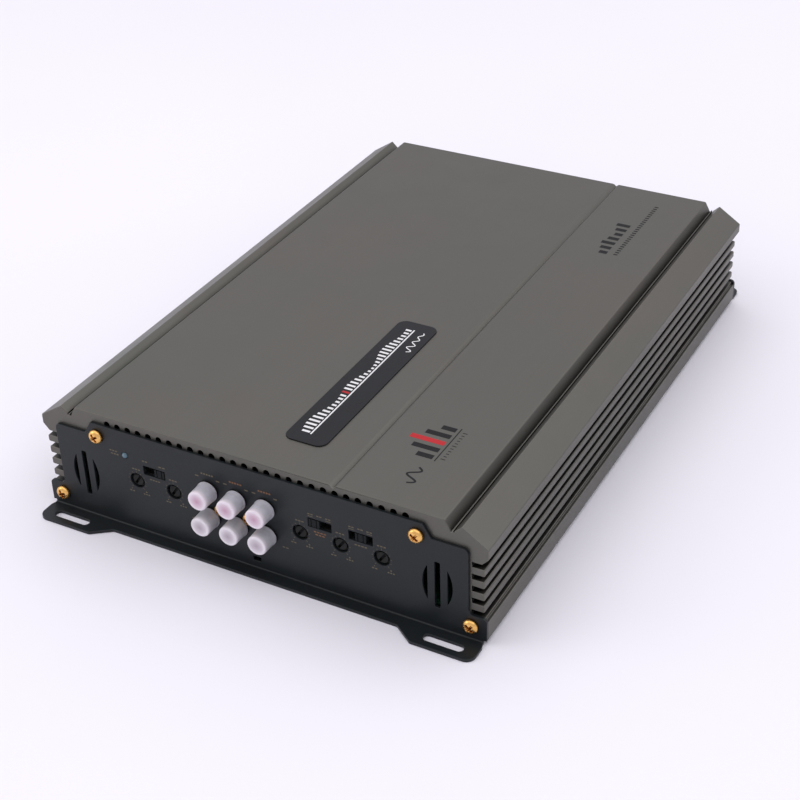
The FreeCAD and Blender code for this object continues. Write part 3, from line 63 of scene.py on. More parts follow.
class Surface:
    """A procedural material: one Principled shader and the nodes that vary it over the surface."""

    def __init__(self, name, color, roughness=0.5, metallic=0.0, **sockets):
        self.material = bpy.data.materials.new(name)
        self.material.use_nodes = True
        self.tree = self.material.node_tree
        self.shader = self.tree.nodes["Principled BSDF"]
        self.shader.inputs["Base Color"].default_value = (*color, 1.0)
        self.shader.inputs["Roughness"].default_value = roughness
        self.shader.inputs["Metallic"].default_value = metallic
        for label, value in sockets.items():
            wanted = label.replace("_", " ")
            socket = next(item for item in self.shader.inputs if item.name.lower() == wanted)
            socket.default_value = value
        self.spot = self.tree.nodes.new("ShaderNodeTexCoord").outputs["Object"]

    def add(self, kind, values=(), **settings):
        """New node; values go to its inputs in order, as numbers or as links. None leaves one alone."""
        node = self.tree.nodes.new(f"ShaderNode{kind}")
        for key, setting in settings.items():
            setattr(node, key, setting)
        for socket, value in zip(node.inputs, values):
            self.feed(socket, value)
        return node

    def feed(self, socket, value):
        """Link a socket, or set it if value is a plain number or vector."""
        if isinstance(value, bpy.types.NodeSocket):
            self.tree.links.new(value, socket)
        elif value is not None:
            socket.default_value = value

    def math(self, operation, first, second=None):
        return self.add("Math", (first, second), operation=operation).outputs[0]

    def stretched(self, stretch):
        """Surface position scaled per axis, so that a pattern runs along the axis with the small number."""
        return self.add("VectorMath", (self.spot, stretch), operation="MULTIPLY").outputs[0]

    def noise(self, per_metre, detail=2.0, stretch=(1.0, 1.0, 1.0), rough=0.5):
        """Soft random pattern from 0 to 1, with about per_metre blotches to the metre."""
        texture = self.add("TexNoise", noise_dimensions="3D")
        self.feed(texture.inputs["Vector"], self.stretched(stretch))
        texture.inputs["Scale"].default_value = per_metre
        texture.inputs["Detail"].default_value = detail
        texture.inputs["Roughness"].default_value = rough
        return texture.outputs["Fac"]

    def cells(self, per_metre, feature="F1"):
        """Distance to the nearest of scattered points, or to the edge between their cells."""
        texture = self.add("TexVoronoi", feature=feature)
        self.feed(texture.inputs["Vector"], self.spot)
        texture.inputs["Scale"].default_value = per_metre
        return texture.outputs["Distance"]

    def remap(self, value, low, high, to_low=0.0, to_high=1.0):
        """Carry the range low to high over to to_low to to_high, and hold it at both ends."""
        return self.add("MapRange", (value, low, high, to_low, to_high)).outputs[0]

    def axis(self, index, source=None):
        split = self.add("SeparateXYZ", (source or self.spot,))
        return split.outputs[index]

    def mix(self, factor, first, second):
        """Blend of two colours, each an (r, g, b) or a link."""
        node = self.add("Mix", data_type="RGBA")
        self.feed(node.inputs[0], factor)
        for socket, colour in ((node.inputs[6], first), (node.inputs[7], second)):
            self.feed(socket, colour if isinstance(colour, bpy.types.NodeSocket) else (*colour[:3], 1.0))
        return node.outputs[2]

    def edges(self, radius):
        """1 on sharp edges and 0 elsewhere: how far a rounded normal turns from the true one."""
        least_turn, full_turn = 0.02, 0.25
        rounded = self.add("Bevel", samples=4)
        rounded.inputs["Radius"].default_value = radius
        true = self.add("NewGeometry").outputs["Normal"]
        dot = self.add("VectorMath", (rounded.outputs[0], true), operation="DOT_PRODUCT").outputs["Value"]
        return self.remap(self.math("SUBTRACT", 1.0, dot), least_turn, full_turn)

    def hollows(self, reach):
        """1 in the open and towards 0 in recesses, judged over the given distance."""
        shade = self.add("AmbientOcclusion", samples=8)
        shade.inputs["Distance"].default_value = reach
        return shade.outputs["AO"]

    def paint(self, colour):
        self.feed(self.shader.inputs["Base Color"], colour)
        return self

    def rough(self, value):
        self.feed(self.shader.inputs["Roughness"], value)
        return self

    def bump(self, height, distance, under=None):
        """Raise the surface by a height pattern; several are chained by passing the last one as under."""
        node = self.add("Bump")
        node.inputs["Distance"].default_value = distance
        self.feed(node.inputs["Height"], height)
        if under is not None:
            self.feed(node.inputs["Normal"], under)
        self.feed(self.shader.inputs["Normal"], node.outputs[0])
        return node.outputs[0]


def rgb(red, green, blue):
    """Linear colour from the usual 0 to 255 screen values."""
    return tuple((part / 255 / 12.92) if part <= 10 else ((part / 255 + 0.055) / 1.055) ** 2.4
                 for part in (red, green, blue))


def scaled(color, factor):
    return tuple(part * factor for part in color)


# ---------------------------------------------------------------- materials

def anodised_metal():
    """Bead-blasted warm grey anodising: fine grain, faint die lines, edges lightened partly by wear and
    partly as a painted highlight, and painted shade that darkens slots and hollows nearly to black, kept
    off the sawn ends.
    """
    base = rgb(102, 99, 93)
    s = Surface("heatsink_metal", base, 0.42, 0.72, specular_ior_level=0.4)
    cloud = s.remap(s.noise(14.0, 3.0), 0.3, 0.7)
    lines = s.noise(700.0, 3.0, (1.0, 0.012, 1.0))
    grain = s.noise(5200.0, 1.0)
    tone = s.mix(s.remap(lines, 0.35, 0.65), scaled(base, 0.97), scaled(base, 1.03))
    tone = s.mix(s.remap(grain, 0.35, 0.65), s.mix(0.5, tone, scaled(base, 0.85)), tone)
    tone = s.mix(cloud, tone, s.mix(0.5, tone, rgb(96, 99, 93)))
    # Edges lightened towards pale grey: partly wear, partly a painted highlight along the edges.
    edge_lightening = s.math("MULTIPLY", s.edges(0.5 * MM), s.remap(s.noise(260.0, 2.0), 0.35, 0.65, 0.3, 0.9))
    tone = s.mix(edge_lightening, tone, rgb(172, 167, 158))
    normal = s.add("NewGeometry").outputs["Normal"]
    end_face = s.remap(s.math("ABSOLUTE", s.axis(1, normal)), 0.9, 0.99)
    # Painted shade: hollows, fin slots and gutters are darkened nearly to black by ambient occlusion; the
    # sawn end faces are kept out of it.
    lit = s.remap(s.hollows(7.0 * MM), 0.32, 0.74)
    clear_of_painted_shade = s.math("MAXIMUM", lit, s.math("MULTIPLY", end_face, 0.92))
    s.paint(s.mix(clear_of_painted_shade, scaled(base, 0.04), tone))
    streaks = s.remap(lines, 0.3, 0.7, -0.02, 0.02)
    s.rough(s.math("ADD", streaks, s.remap(s.noise(40.0, 2.0), 0.3, 0.7, 0.39, 0.45)))
    saw = s.math("MULTIPLY", s.noise(900.0, 2.0, (0.06, 1.0, 1.0)), end_face)
    under = s.bump(saw, 0.02 * MM)
    under = s.bump(lines, 0.006 * MM, under)
    s.bump(grain, 0.012 * MM, under)
    return s.material


def powder_coat(name, colour, gloss=0.36):
    """Satin black powder coat: orange peel, fine grain, and a little wear on the folded edges."""
    s = Surface(name, colour, gloss, 0.0, specular_ior_level=0.28)
    peel = s.noise(900.0, 2.0)
    grain = s.noise(4200.0, 1.0)
    mottled = s.mix(s.remap(s.noise(22.0, 3.0), 0.3, 0.7), scaled(colour, 0.88), scaled(colour, 1.14))
    speck = s.mix(s.remap(grain, 0.62, 0.8), mottled, scaled(colour, 1.7))
    edge_lightening = s.math("MULTIPLY", s.edges(0.3 * MM), s.remap(s.noise(180.0, 3.0), 0.4, 0.7, 0.25, 0.85))
    s.paint(s.mix(edge_lightening, speck, scaled(colour, 3.0)))
    s.rough(s.remap(peel, 0.3, 0.7, gloss - 0.05, gloss + 0.07))
    s.bump(grain, 0.012 * MM, s.bump(peel, 0.02 * MM))
    return s.material


def plated(name, colour, shade, roughness=0.22):
    """Bright plating over steel: turning marks, and painted shade that darkens it down in recesses."""
    s = Surface(name, colour, roughness, 1.0)
    swirl = s.noise(1500.0, 2.0, (1.0, 0.3, 1.0))
    tone = s.mix(s.remap(swirl, 0.3, 0.7), scaled(colour, 0.9), scaled(colour, 1.06))
    # Painted shade: the plating is darkened towards the shade colour in recesses by ambient occlusion.
    s.paint(s.mix(s.remap(s.hollows(1.4 * MM), 0.4, 0.92), shade, tone))
    s.rough(s.remap(s.noise(700.0, 3.0), 0.3, 0.7, roughness - 0.05, roughness + 0.12))
    s.bump(swirl, 0.006 * MM)
    return s.material


def moulded(name, colour, roughness=0.5, texture=0.012, slots=0.0, **sockets):
    """Moulded plastic: spark-eroded texture, slight colour drift and lighter rubbed edges.

    slots is the distance over which painted shade darkens narrow slots nearly to black; 0 leaves them
    alone.
    """
    s = Surface(name, colour, roughness, 0.0, **sockets)
    grain = s.noise(3600.0, 2.0)
    drift = s.mix(s.remap(s.noise(120.0, 2.0), 0.3, 0.7), scaled(colour, 0.88), scaled(colour, 1.12))
    rubbed = s.math("MULTIPLY", s.edges(0.2 * MM), 0.6)
    tone = s.mix(rubbed, drift, tuple(min(1.0, part * 1.9 + 0.01) for part in colour))
    # Painted shade: narrow slots are darkened nearly to black by ambient occlusion.
    if slots:
        tone = s.mix(s.remap(s.hollows(slots), 0.62, 0.95), scaled(colour, 0.06), tone)
    s.paint(tone)
    s.rough(s.remap(grain, 0.3, 0.7, roughness - 0.06, roughness + 0.08))
    s.bump(grain, texture * MM)
    return s.material


def milky_plastic(name, side, face, heart):
    """Soft translucent cap: greyer thin walls and a paler solid end, painted shade and light, and a tint
    painted in its middle for the insert seen through the end.
    """
    s = Surface(name, side, 0.34, 0.0, subsurface_weight=0.35, subsurface_scale=0.002,
                specular_ior_level=0.5, coat_weight=0.15, coat_roughness=0.25)
    s.shader.inputs["Subsurface Radius"].default_value = (1.0, 0.9, 1.0)
    end = s.add("Attribute", attribute_name="end").outputs["Fac"]
    middle = s.add("Attribute", attribute_name="heart").outputs["Fac"]
    cloud = s.remap(s.noise(420.0, 3.0), 0.3, 0.7)
    # Painted light and shade: greyer walls, a paler end and a see-through tint in the middle.
    walls = s.mix(cloud, scaled(side, 0.92), scaled(side, 1.08))
    body = s.mix(end, walls, s.mix(cloud, face, scaled(face, 0.94)))
    s.paint(s.mix(middle, body, heart))
    s.rough(s.remap(s.noise(900.0, 2.0), 0.3, 0.7, 0.28, 0.42))
    s.bump(s.noise(700.0, 2.0), 0.01 * MM)
    return s.material


def circuit_board():
    """Green solder mask over copper tracks, with tinned pads."""
    mask = rgb(13, 42, 27)
    s = Surface("board_green", mask, 0.35, 0.0, specular_ior_level=0.5)
    gap = s.cells(170.0, "DISTANCE_TO_EDGE")
    track = s.remap(gap, 0.05, 0.09, 1.0, 0.0)
    ground = s.mix(s.remap(s.noise(60.0, 3.0), 0.3, 0.7), mask, scaled(mask, 1.25))
    tone = s.mix(track, ground, rgb(24, 62, 38))
    pad = s.remap(s.cells(400.0), 0.16, 0.2, 1.0, 0.0)
    s.paint(s.mix(pad, tone, rgb(150, 148, 142)))
    s.feed(s.shader.inputs["Metallic"], pad)
    s.rough(s.remap(pad, 0.0, 1.0, 0.36, 0.25))
    s.bump(s.math("ADD", track, pad), 0.03 * MM)
    return s.material


def enamelled_wire():
    """Lacquered copper winding wire, with a tone that changes from turn to turn."""
    colour = rgb(186, 96, 44)
    s = Surface("copper_wire", colour, 0.28, 0.9, coat_weight=0.6, coat_roughness=0.15)
    band = s.noise(340.0, 2.0)
    s.paint(s.mix(s.remap(band, 0.3, 0.7), scaled(colour, 0.75), scaled(colour, 1.2)))
    s.rough(s.remap(band, 0.3, 0.7, 0.22, 0.36))
    s.bump(s.noise(2600.0, 2.0), 0.01 * MM)
    return s.material


def sintered():
    """Dull grey ferrite with a coarse grain."""
    colour = rgb(52, 50, 50)
    s = Surface("ferrite", colour, 0.75, 0.0)
    grain = s.noise(2400.0, 4.0, rough=0.7)
    s.paint(s.mix(s.remap(grain, 0.35, 0.7), scaled(colour, 0.7), scaled(colour, 1.5)))
    s.rough(s.remap(grain, 0.3, 0.7, 0.65, 0.85))
    s.bump(grain, 0.05 * MM)
    return s.material


def can_sleeve():
    """Shrink sleeve with a bare aluminium top, which faces up."""
    colour = rgb(26, 30, 44)
    s = Surface("can_sleeve", colour, 0.3, 0.0, coat_weight=0.3)
    up = s.remap(s.axis(2, s.add("NewGeometry").outputs["Normal"]), 0.75, 0.9)
    drift = s.mix(s.remap(s.noise(90.0, 2.0), 0.3, 0.7), scaled(colour, 0.85), scaled(colour, 1.2))
    s.paint(s.mix(up, drift, rgb(196, 197, 198)))
    s.feed(s.shader.inputs["Metallic"], up)
    s.rough(s.remap(s.noise(800.0, 2.0), 0.3, 0.7, 0.26, 0.4))
    s.bump(s.noise(500.0, 3.0), 0.02 * MM)
    return s.material


def woven_pad():
    """Silicone-coated glass cloth: fine plain weave under a dull skin."""
    colour = rgb(152, 154, 150)
    turn_per_metre = 7000.0
    s = Surface("thermal_pad", colour, 0.7, 0.0)
    warp = s.math("SINE", s.math("MULTIPLY", s.axis(1), turn_per_metre))
    weft = s.math("SINE", s.math("MULTIPLY", s.axis(2), turn_per_metre))
    weave = s.math("MULTIPLY", warp, weft)
    s.paint(s.mix(s.remap(weave, -1.0, 1.0), scaled(colour, 0.86), scaled(colour, 1.05)))
    s.rough(s.remap(s.noise(900.0, 2.0), 0.3, 0.7, 0.62, 0.8))
    s.bump(weave, 0.02 * MM)
    return s.material


def lacquered_plate():
    """Black lacquer on the name plate: very fine haze and a soft gloss."""
    colour = rgb(20, 22, 25)
    s = Surface("badge_black", colour, 0.34, 0.0, specular_ior_level=0.22)
    haze = s.noise(240.0, 3.0)
    s.paint(s.mix(s.remap(haze, 0.3, 0.7), scaled(colour, 0.9), scaled(colour, 1.12)))
    s.rough(s.remap(haze, 0.3, 0.7, 0.26, 0.38))
    s.bump(s.noise(2600.0, 2.0), 0.006 * MM)
    return s.material


def ink(name, colour, roughness=0.5):
    """Screen print: a thin, slightly uneven film of ink."""
    s = Surface(name, colour, roughness, 0.0, specular_ior_level=0.2)
    film = s.noise(1600.0, 3.0)
    s.paint(s.mix(s.remap(film, 0.3, 0.75), scaled(colour, 0.86), scaled(colour, 1.05)))
    s.rough(s.remap(film, 0.3, 0.7, roughness - 0.06, roughness + 0.1))
    s.bump(film, 0.006 * MM)
    return s.material


def tinted_clear(name, colour, roughness, transmission):
    """Clear coloured plastic: lamp lens or fuse body."""
    s = Surface(name, colour, roughness, 0.0, transmission_weight=transmission, ior=1.5)
    flow = s.noise(260.0, 2.0)
    s.paint(s.mix(s.remap(flow, 0.3, 0.7), scaled(colour, 0.9), colour))
    s.rough(s.remap(flow, 0.3, 0.7, roughness, roughness + 0.08))
    s.bump(flow, 0.01 * MM)
    return s.material


GOLD = rgb(240, 188, 110)
PALE_GOLD = rgb(240, 206, 140)
STEEL = rgb(188, 188, 186)

MATERIALS = {
    "heatsink_metal": anodised_metal(),
    "plate_paint": powder_coat("plate_paint", rgb(27, 31, 33)),
    "cover_paint": powder_coat("cover_paint", rgb(27, 29, 31), 0.45),
    "gold_screw": plated("gold_screw", GOLD, rgb(118, 56, 14)),
    "gold_contact": plated("gold_contact", PALE_GOLD, rgb(150, 96, 36), 0.16),
    "bright_steel": plated("bright_steel", STEEL, rgb(70, 70, 72), 0.25),
    "black_plastic": moulded("black_plastic", rgb(20, 20, 21)),
    # The rotors and the switch knobs carry painted shade in their slots.
    "rotor_plastic": moulded("rotor_plastic", rgb(34, 35, 34), 0.46, slots=1.6 * MM,
                             specular_ior_level=0.1),
    "switch_knob": moulded("switch_knob", rgb(26, 30, 31), 0.46, slots=1.2 * MM,
                           specular_ior_level=0.1),
    "red_plastic": moulded("red_plastic", rgb(170, 30, 44), 0.3, 0.006),
    "white_plastic": moulded("white_plastic", rgb(226, 224, 218), 0.3, 0.006),
    "board_green": circuit_board(),
    "ferrite": sintered(),
    "copper_wire": enamelled_wire(),
    "can_sleeve": can_sleeve(),
    "chip_plastic": moulded("chip_plastic", rgb(26, 26, 28), 0.55, 0.02),
    "thermal_pad": woven_pad(),
    "badge_black": lacquered_plate(),
    "fuse_plastic": tinted_clear("fuse_plastic", rgb(60, 190, 96), 0.12, 0.75),
    "led_lens": tinted_clear("led_lens", rgb(112, 142, 156), 0.2, 0.35),
}
# Colours of the caps' sides, solid ends and hearts, for each row: the lower row is a darker copy with
# painted shade, and each heart is a painted see-through tint of the insert behind.
CAP_MATERIALS = {
    "upper": milky_plastic("cap_plastic",
                           rgb(184, 183, 190), rgb(228, 218, 226), rgb(188, 146, 168)),
    "lower": milky_plastic("cap_plastic_shaded",
                           rgb(178, 177, 182), rgb(224, 218, 224), rgb(170, 157, 168)),
}
INKS = {
    "white": ink("print_white", rgb(232, 232, 232), 0.4),
    "red": ink("print_red", rgb(182, 36, 42), 0.45),
    "dark": ink("print_dark", rgb(20, 20, 21), 0.5),
    "cream": ink("legend_cream", rgb(100, 92, 76), 0.55),
    "amber": ink("legend_amber", rgb(122, 88, 62), 0.55),
}


# ---------------------------------------------------------------- mesh helpers

def welded(name):
    """A CAD node's mesh as bmesh, with its seams closed."""
    bm = bmesh.new()
    bm.from_mesh(NODES[name].data)
    bmesh.ops.remove_doubles(bm, verts=bm.verts, dist=0.0005 * MM)
    return bm


def islands(bm):
    """Lists of vertices, one for each separate solid."""
    waiting = set(bm.verts)
    found = []
    while waiting:
        frontier = [waiting.pop()]
        island = []
        while frontier:
            vertex = frontier.pop()
            island.append(vertex)
            for edge in vertex.link_edges:
                other = edge.other_vert(vertex)
                if other in waiting:
                    waiting.remove(other)
                    frontier.append(other)
        found.append(island)
    return found


def solid_boxes(name):
    """(lowest corner, highest corner) of each separate solid in a CAD node, sorted by place."""
    bm = welded(name)
    boxes = []
    for island in islands(bm):
        low = Vector([min(vertex.co[i] for vertex in island) for i in range(3)])
        high = Vector([max(vertex.co[i] for vertex in island) for i in range(3)])
        boxes.append((low, high))
    bm.free()
    return sorted(boxes, key=lambda box: (round(box[0].z, 4), round(box[0].x, 4), round(box[0].y, 4)))


def to_object(bm, name, material, smooth=35.0):
    """Mesh object from bmesh, shaded smooth up to the given edge angle in degrees."""
    mesh = bpy.data.meshes.new(name)
    bm.normal_update()
    bm.to_mesh(mesh)
    bm.free()
    if "custom_normal" in mesh.attributes:
        mesh.attributes.remove(mesh.attributes["custom_normal"])
    mesh.materials.clear()
    mesh.materials.append(material)
    for polygon in mesh.polygons:
        polygon.material_index = 0
        polygon.use_smooth = True
    mesh.set_sharp_from_angle(angle=math.radians(smooth))
    piece = bpy.data.objects.new(name, mesh)
    bpy.context.scene.collection.objects.link(piece)
    return piece


def soften(piece, width):
    """Rounded edges with clean highlights on the flats beside them."""
    sharp_from = 32.0
    rounding = piece.modifiers.new("rounding", "BEVEL")
    rounding.width = width
    rounding.segments = 2
    rounding.limit_method = "ANGLE"
    rounding.angle_limit = math.radians(sharp_from)
    rounding.use_clamp_overlap = False
    rounding.miter_outer = "MITER_ARC"
    shading = piece.modifiers.new("shading", "WEIGHTED_NORMAL")
    shading.keep_sharp = True


def stand_for(piece, *names):
    """Let a piece replace CAD nodes of one body."""
    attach(piece, BODY_OF[names[0]])
    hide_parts(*names)
    return piece


def finished(name, width, sunk=0.0):
    """Copy of a CAD node with its machined or moulded edges rounded by width mm, in its place.

    sunk lowers the top face, to leave room under the CAD box for a print on it.
    """
    bm = welded(name)
    top = max(vertex.co.z for vertex in bm.verts)
    for vertex in bm.verts:
        if top - vertex.co.z < 0.01 * MM:
            vertex.co.z -= sunk
    bmesh.ops.dissolve_limit(bm, angle_limit=math.radians(0.5), verts=bm.verts, edges=bm.edges)
    piece = to_object(bm, f"{name}_finished", MATERIALS[SLOT_OF[name]])
    soften(piece, width * MM)
    return stand_for(piece, name)


def carry_over(name):
    """Keep a CAD node as it is, with its procedural material."""
    mesh = NODES[name].data
    mesh.materials.clear()
    mesh.materials.append(MATERIALS[SLOT_OF[name]])


def lathe(bm, profile, axis_point, toward, steps=96):
    """Turn (radius, distance along toward) points about an axis into bm. Returns the rings of vertices."""
    turn = Vector((0, 0, 1)).rotation_difference(toward).to_matrix().to_4x4()
    rings = []
    for radius, along in profile:
        if radius < 1e-7:
            rings.append([bm.verts.new(axis_point + toward * along)])
            continue
        ring = []
        for step in range(steps):
            angle = 2 * math.pi * step / steps
            arm = turn @ Vector((math.cos(angle) * radius, math.sin(angle) * radius, 0))
            ring.append(bm.verts.new(axis_point + arm + toward * along))
        rings.append(ring)
    for ring, following in zip(rings, rings[1:]):
        for step in range(steps):
            after = (step + 1) % steps
            corners = [ring[step % len(ring)], ring[after % len(ring)],
                       following[after % len(following)], following[step % len(following)]]
            unique = list(dict.fromkeys(corners))
            if len(unique) > 2:
                bm.faces.new(unique)
    return rings


def arc(centre, radius, start, end, steps):
    """Points on an arc in profile coordinates, angles in degrees."""
    points = []
    for step in range(steps + 1):
        angle = math.radians(start + (end - start) * step / steps)
        points.append((centre[0] + radius * math.cos(angle), centre[1] + radius * math.sin(angle)))
    return points


# ---------------------------------------------------------------- screws

def blade_cutter(reach, arm, depth, top, turn):
    """One tapered blade of a Phillips recess, cut down from z = top to z = top - depth.

    reach and arm are half its length and half its width near the top; turn is its angle about z.
    """
    bm = bmesh.new()
    loops = []
    above = (top + 0.2 * MM, reach * 1.06, arm * 1.05)
    below = (top - depth, reach * 0.7, arm * 0.78)
    spin = Matrix.Rotation(turn, 3, "Z")
    for level, spread, half in (above, below):
        outline = ((-spread, -half), (spread, -half), (spread, half), (-spread, half))
        loops.append([bm.verts.new(spin @ Vector((u, v, level))) for u, v in outline])
    upper, lower = loops
    for index in range(4):
        after = (index + 1) % 4
        bm.faces.new((upper[index], lower[index], lower[after], upper[after]))
    bm.faces.new(upper)
    bm.faces.new(list(reversed(lower)))
    bmesh.ops.recalc_face_normals(bm, faces=bm.faces)
    mesh = bpy.data.meshes.new("cutter")
    bm.to_mesh(mesh)
    bm.free()
    cutter = bpy.data.objects.new("cutter", mesh)
    bpy.context.scene.collection.objects.link(cutter)
    return cutter


def cross_head_mesh(radius, height, shank, length, pitch):
    """Pan head with a Phillips recess over a threaded shank. Head seat at z = 0, head up, shank down."""
    bm = bmesh.new()
    root = shank * 0.8
    rim = 0.28 * height
    crown = height - rim
    dome = [(radius * math.cos(t) ** 0.72, rim + crown * math.sin(t))
            for t in (math.radians(angle) for angle in range(0, 90, 8))]
    dome.append((0.0, height))
    profile = [(0.0, -length), (shank * 0.45, -length), (root, -length + shank * 0.7)]
    turns = int((length - shank) / pitch)
    for index in range(turns):
        base = -length + shank + pitch * index
        profile += [(shank, base), (shank, base + pitch * 0.18),
                    (root, base + pitch * 0.5), (root, base + pitch * 0.72)]
    profile += [(shank, -0.02 * MM), (radius - 0.15 * MM, 0.0), (radius, 0.12 * MM)] + dome
    lathe(bm, profile, Vector((0, 0, 0)), Vector((0, 0, 1)), 72)
    bmesh.ops.recalc_face_normals(bm, faces=bm.faces)
    mesh = bpy.data.meshes.new("head")
    bm.to_mesh(mesh)
    bm.free()
    head = bpy.data.objects.new("head", mesh)
    bpy.context.scene.collection.objects.link(head)
    reach, arm, depth = radius * 0.62, radius * 0.17, height * 0.72
    cutters = [blade_cutter(reach, arm, depth, height, turn) for turn in (0.0, math.pi / 2)]
    for cutter in cutters:
        cut = head.modifiers.new("recess", "BOOLEAN")
        cut.object = cutter
        cut.operation = "DIFFERENCE"
        cut.solver = "EXACT"
    edge = head.modifiers.new("edge", "BEVEL")
    edge.width = 0.05 * MM
    edge.segments = 2
    edge.limit_method = "ANGLE"
    edge.angle_limit = math.radians(38)
    bpy.context.view_layer.update()
    result = bpy.data.meshes.new_from_object(head.evaluated_get(bpy.context.evaluated_depsgraph_get()))
    bpy.data.objects.remove(head)
    for cutter in cutters:
        bpy.data.objects.remove(cutter)
    return result


def cross_head_screws(name, toward, seed, head_height):
    """Detailed screws where a CAD node's screws are: toward points out of the heads."""
    pitch = 0.6 * MM
    dice = random.Random(seed)
    boxes = solid_boxes(name)
    axis = max(range(3), key=lambda index: abs(toward[index]))
    low, high = boxes[0]
    radius = (high - low)[(axis + 1) % 3] / 2
    length = (high - low)[axis] - head_height
    master = cross_head_mesh(radius, head_height, radius * 0.45, length, pitch)
    bm = bmesh.new()
    for low, high in boxes:
        centre = (low + high) / 2
        seat = (low if toward[axis] < 0 else high)[axis] - toward[axis] * head_height
        centre[axis] = seat
        spin = Matrix.Rotation(dice.uniform(0, math.pi / 2), 4, "Z")
        turn = Vector((0, 0, 1)).rotation_difference(toward).to_matrix().to_4x4()
        copy = master.copy()
        copy.transform(Matrix.Translation(centre) @ turn @ spin)
        bm.from_mesh(copy)
        bpy.data.meshes.remove(copy)
    bpy.data.meshes.remove(master)
    piece = to_object(bm, f"{name}_finished", MATERIALS[SLOT_OF[name]], 30.0)
    return stand_for(piece, name)


# ---------------------------------------------------------------- dust caps

def dust_cap(name, upper):
    """Push-on cap turned from its real wall: lip, tapered side, rounded end and open bore.

    Two values on its points, end and heart, tell its material where the solid end and its middle are.
    """
    low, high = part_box(name)
    centre = (low + high) / 2
    toward = Vector((0, -1, 0))
    lip = (high.x - low.x) / 2
    depth = high.y - low.y
    end = lip - 0.35 * MM
    neck = lip - 0.15 * MM
    bore = lip - 0.95 * MM
    lip_height = 0.9 * MM
    edge = 0.15 * MM
    rounding = lip - neck
    corner = 0.7 * MM
    dish = 0.12 * MM
    floor = depth - 1.0 * MM
    side = depth - corner - lip_height
    profile = [(bore, floor), (bore, edge), (bore + edge, 0.0)]
    profile += arc((neck, edge), rounding, -90, 0, 4)
    profile += arc((neck, lip_height - edge), rounding, 0, 90, 4)
    profile += [(neck + (end - neck) * step / 4, lip_height + side * step / 4) for step in range(1, 4)]
    profile += arc((end - corner, depth - corner), corner, 0, 90, 8)
    profile += [(end - corner - 0.3 * MM, depth - dish * 0.4), (end - corner - 0.7 * MM, depth - dish)]
    profile += [(end * part, depth - dish) for part in (0.6, 0.5, 0.4, 0.3, 0.2, 0.1, 0.0)]
    profile = [(0.0, floor)] + profile
    fade_start, fade_length = depth - 3.2 * MM, 2.4 * MM
    heart_radius = end * 0.78
    bm = bmesh.new()
    closed = bm.verts.layers.float.new("end")
    heart = bm.verts.layers.float.new("heart")
    rings = lathe(bm, profile, Vector((centre.x, high.y, centre.z)), toward)
    bmesh.ops.recalc_face_normals(bm, faces=bm.faces)
    for ring, (radius, along) in zip(rings, profile):
        for vertex in ring:
            vertex[closed] = min(1.0, max(0.0, (along - fade_start) / fade_length)) ** 1.5
            near = 1.0 - min(1.0, radius / heart_radius)
            vertex[heart] = near ** 0.7 if along > floor + 0.2 * MM else 0.0
    piece = to_object(bm, f"{name}_finished", CAP_MATERIALS["upper" if upper else "lower"], 50.0)
    return stand_for(piece, name)


# ---------------------------------------------------------------- printed marks
# Places, sizes and film thicknesses in this section are in mm.

def print_marks(name, shapes, lay, height, material, body="chassis"):
    """Thin solid film, height thick, for flat outlines: lay maps (u, v, lift) to a point."""
    bm = bmesh.new()
    for outline in shapes:
        base = [bm.verts.new(lay(u, v, 0.0)) for u, v in outline]
        top = [bm.verts.new(lay(u, v, height)) for u, v in outline]
        bm.faces.new(top)
        bm.faces.new(list(reversed(base)))
        for index in range(len(outline)):
            after = (index + 1) % len(outline)
            bm.faces.new((base[index], base[after], top[after], top[index]))
    bmesh.ops.recalc_face_normals(bm, faces=bm.faces)
    piece = to_object(bm, name, material, 30.0)
    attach(piece, body)
    return piece


def bar(u, v, width, height):
    """Rectangle about (u, v), in mm."""
    return [(u - width / 2, v - height / 2), (u + width / 2, v - height / 2),
            (u + width / 2, v + height / 2), (u - width / 2, v + height / 2)]


def disc(u, v, radius, steps):
    """Round dot about (u, v), in mm."""
    turns = [2 * math.pi * step / steps for step in range(steps)]
    return [(u + radius * math.cos(turn), v + radius * math.sin(turn)) for turn in turns]


def ribbon(points, width):
    """Outline of a stroke of constant width along a line of points."""
    left = []
    right = []
    for index, (u, v) in enumerate(points):
        before = points[max(index - 1, 0)]
        after = points[min(index + 1, len(points) - 1)]
        run = Vector((after[0] - before[0], after[1] - before[1])).normalized()
        left.append((u - run.y * width / 2, v + run.x * width / 2))
        right.append((u + run.y * width / 2, v - run.x * width / 2))
    return left + list(reversed(right))


def wave(u, v, length, swing, width, turns, fade):
    """Sine stroke running along v from (u, v); its swing fades by the given factor at the far end."""
    steps = 60
    points = []
    for step in range(steps + 1):
        part = step / steps
        size = swing * (1 + (fade - 1) * part)
        points.append((u + size * math.sin(2 * math.pi * turns * part), v + length * part))
    return ribbon(points, width)


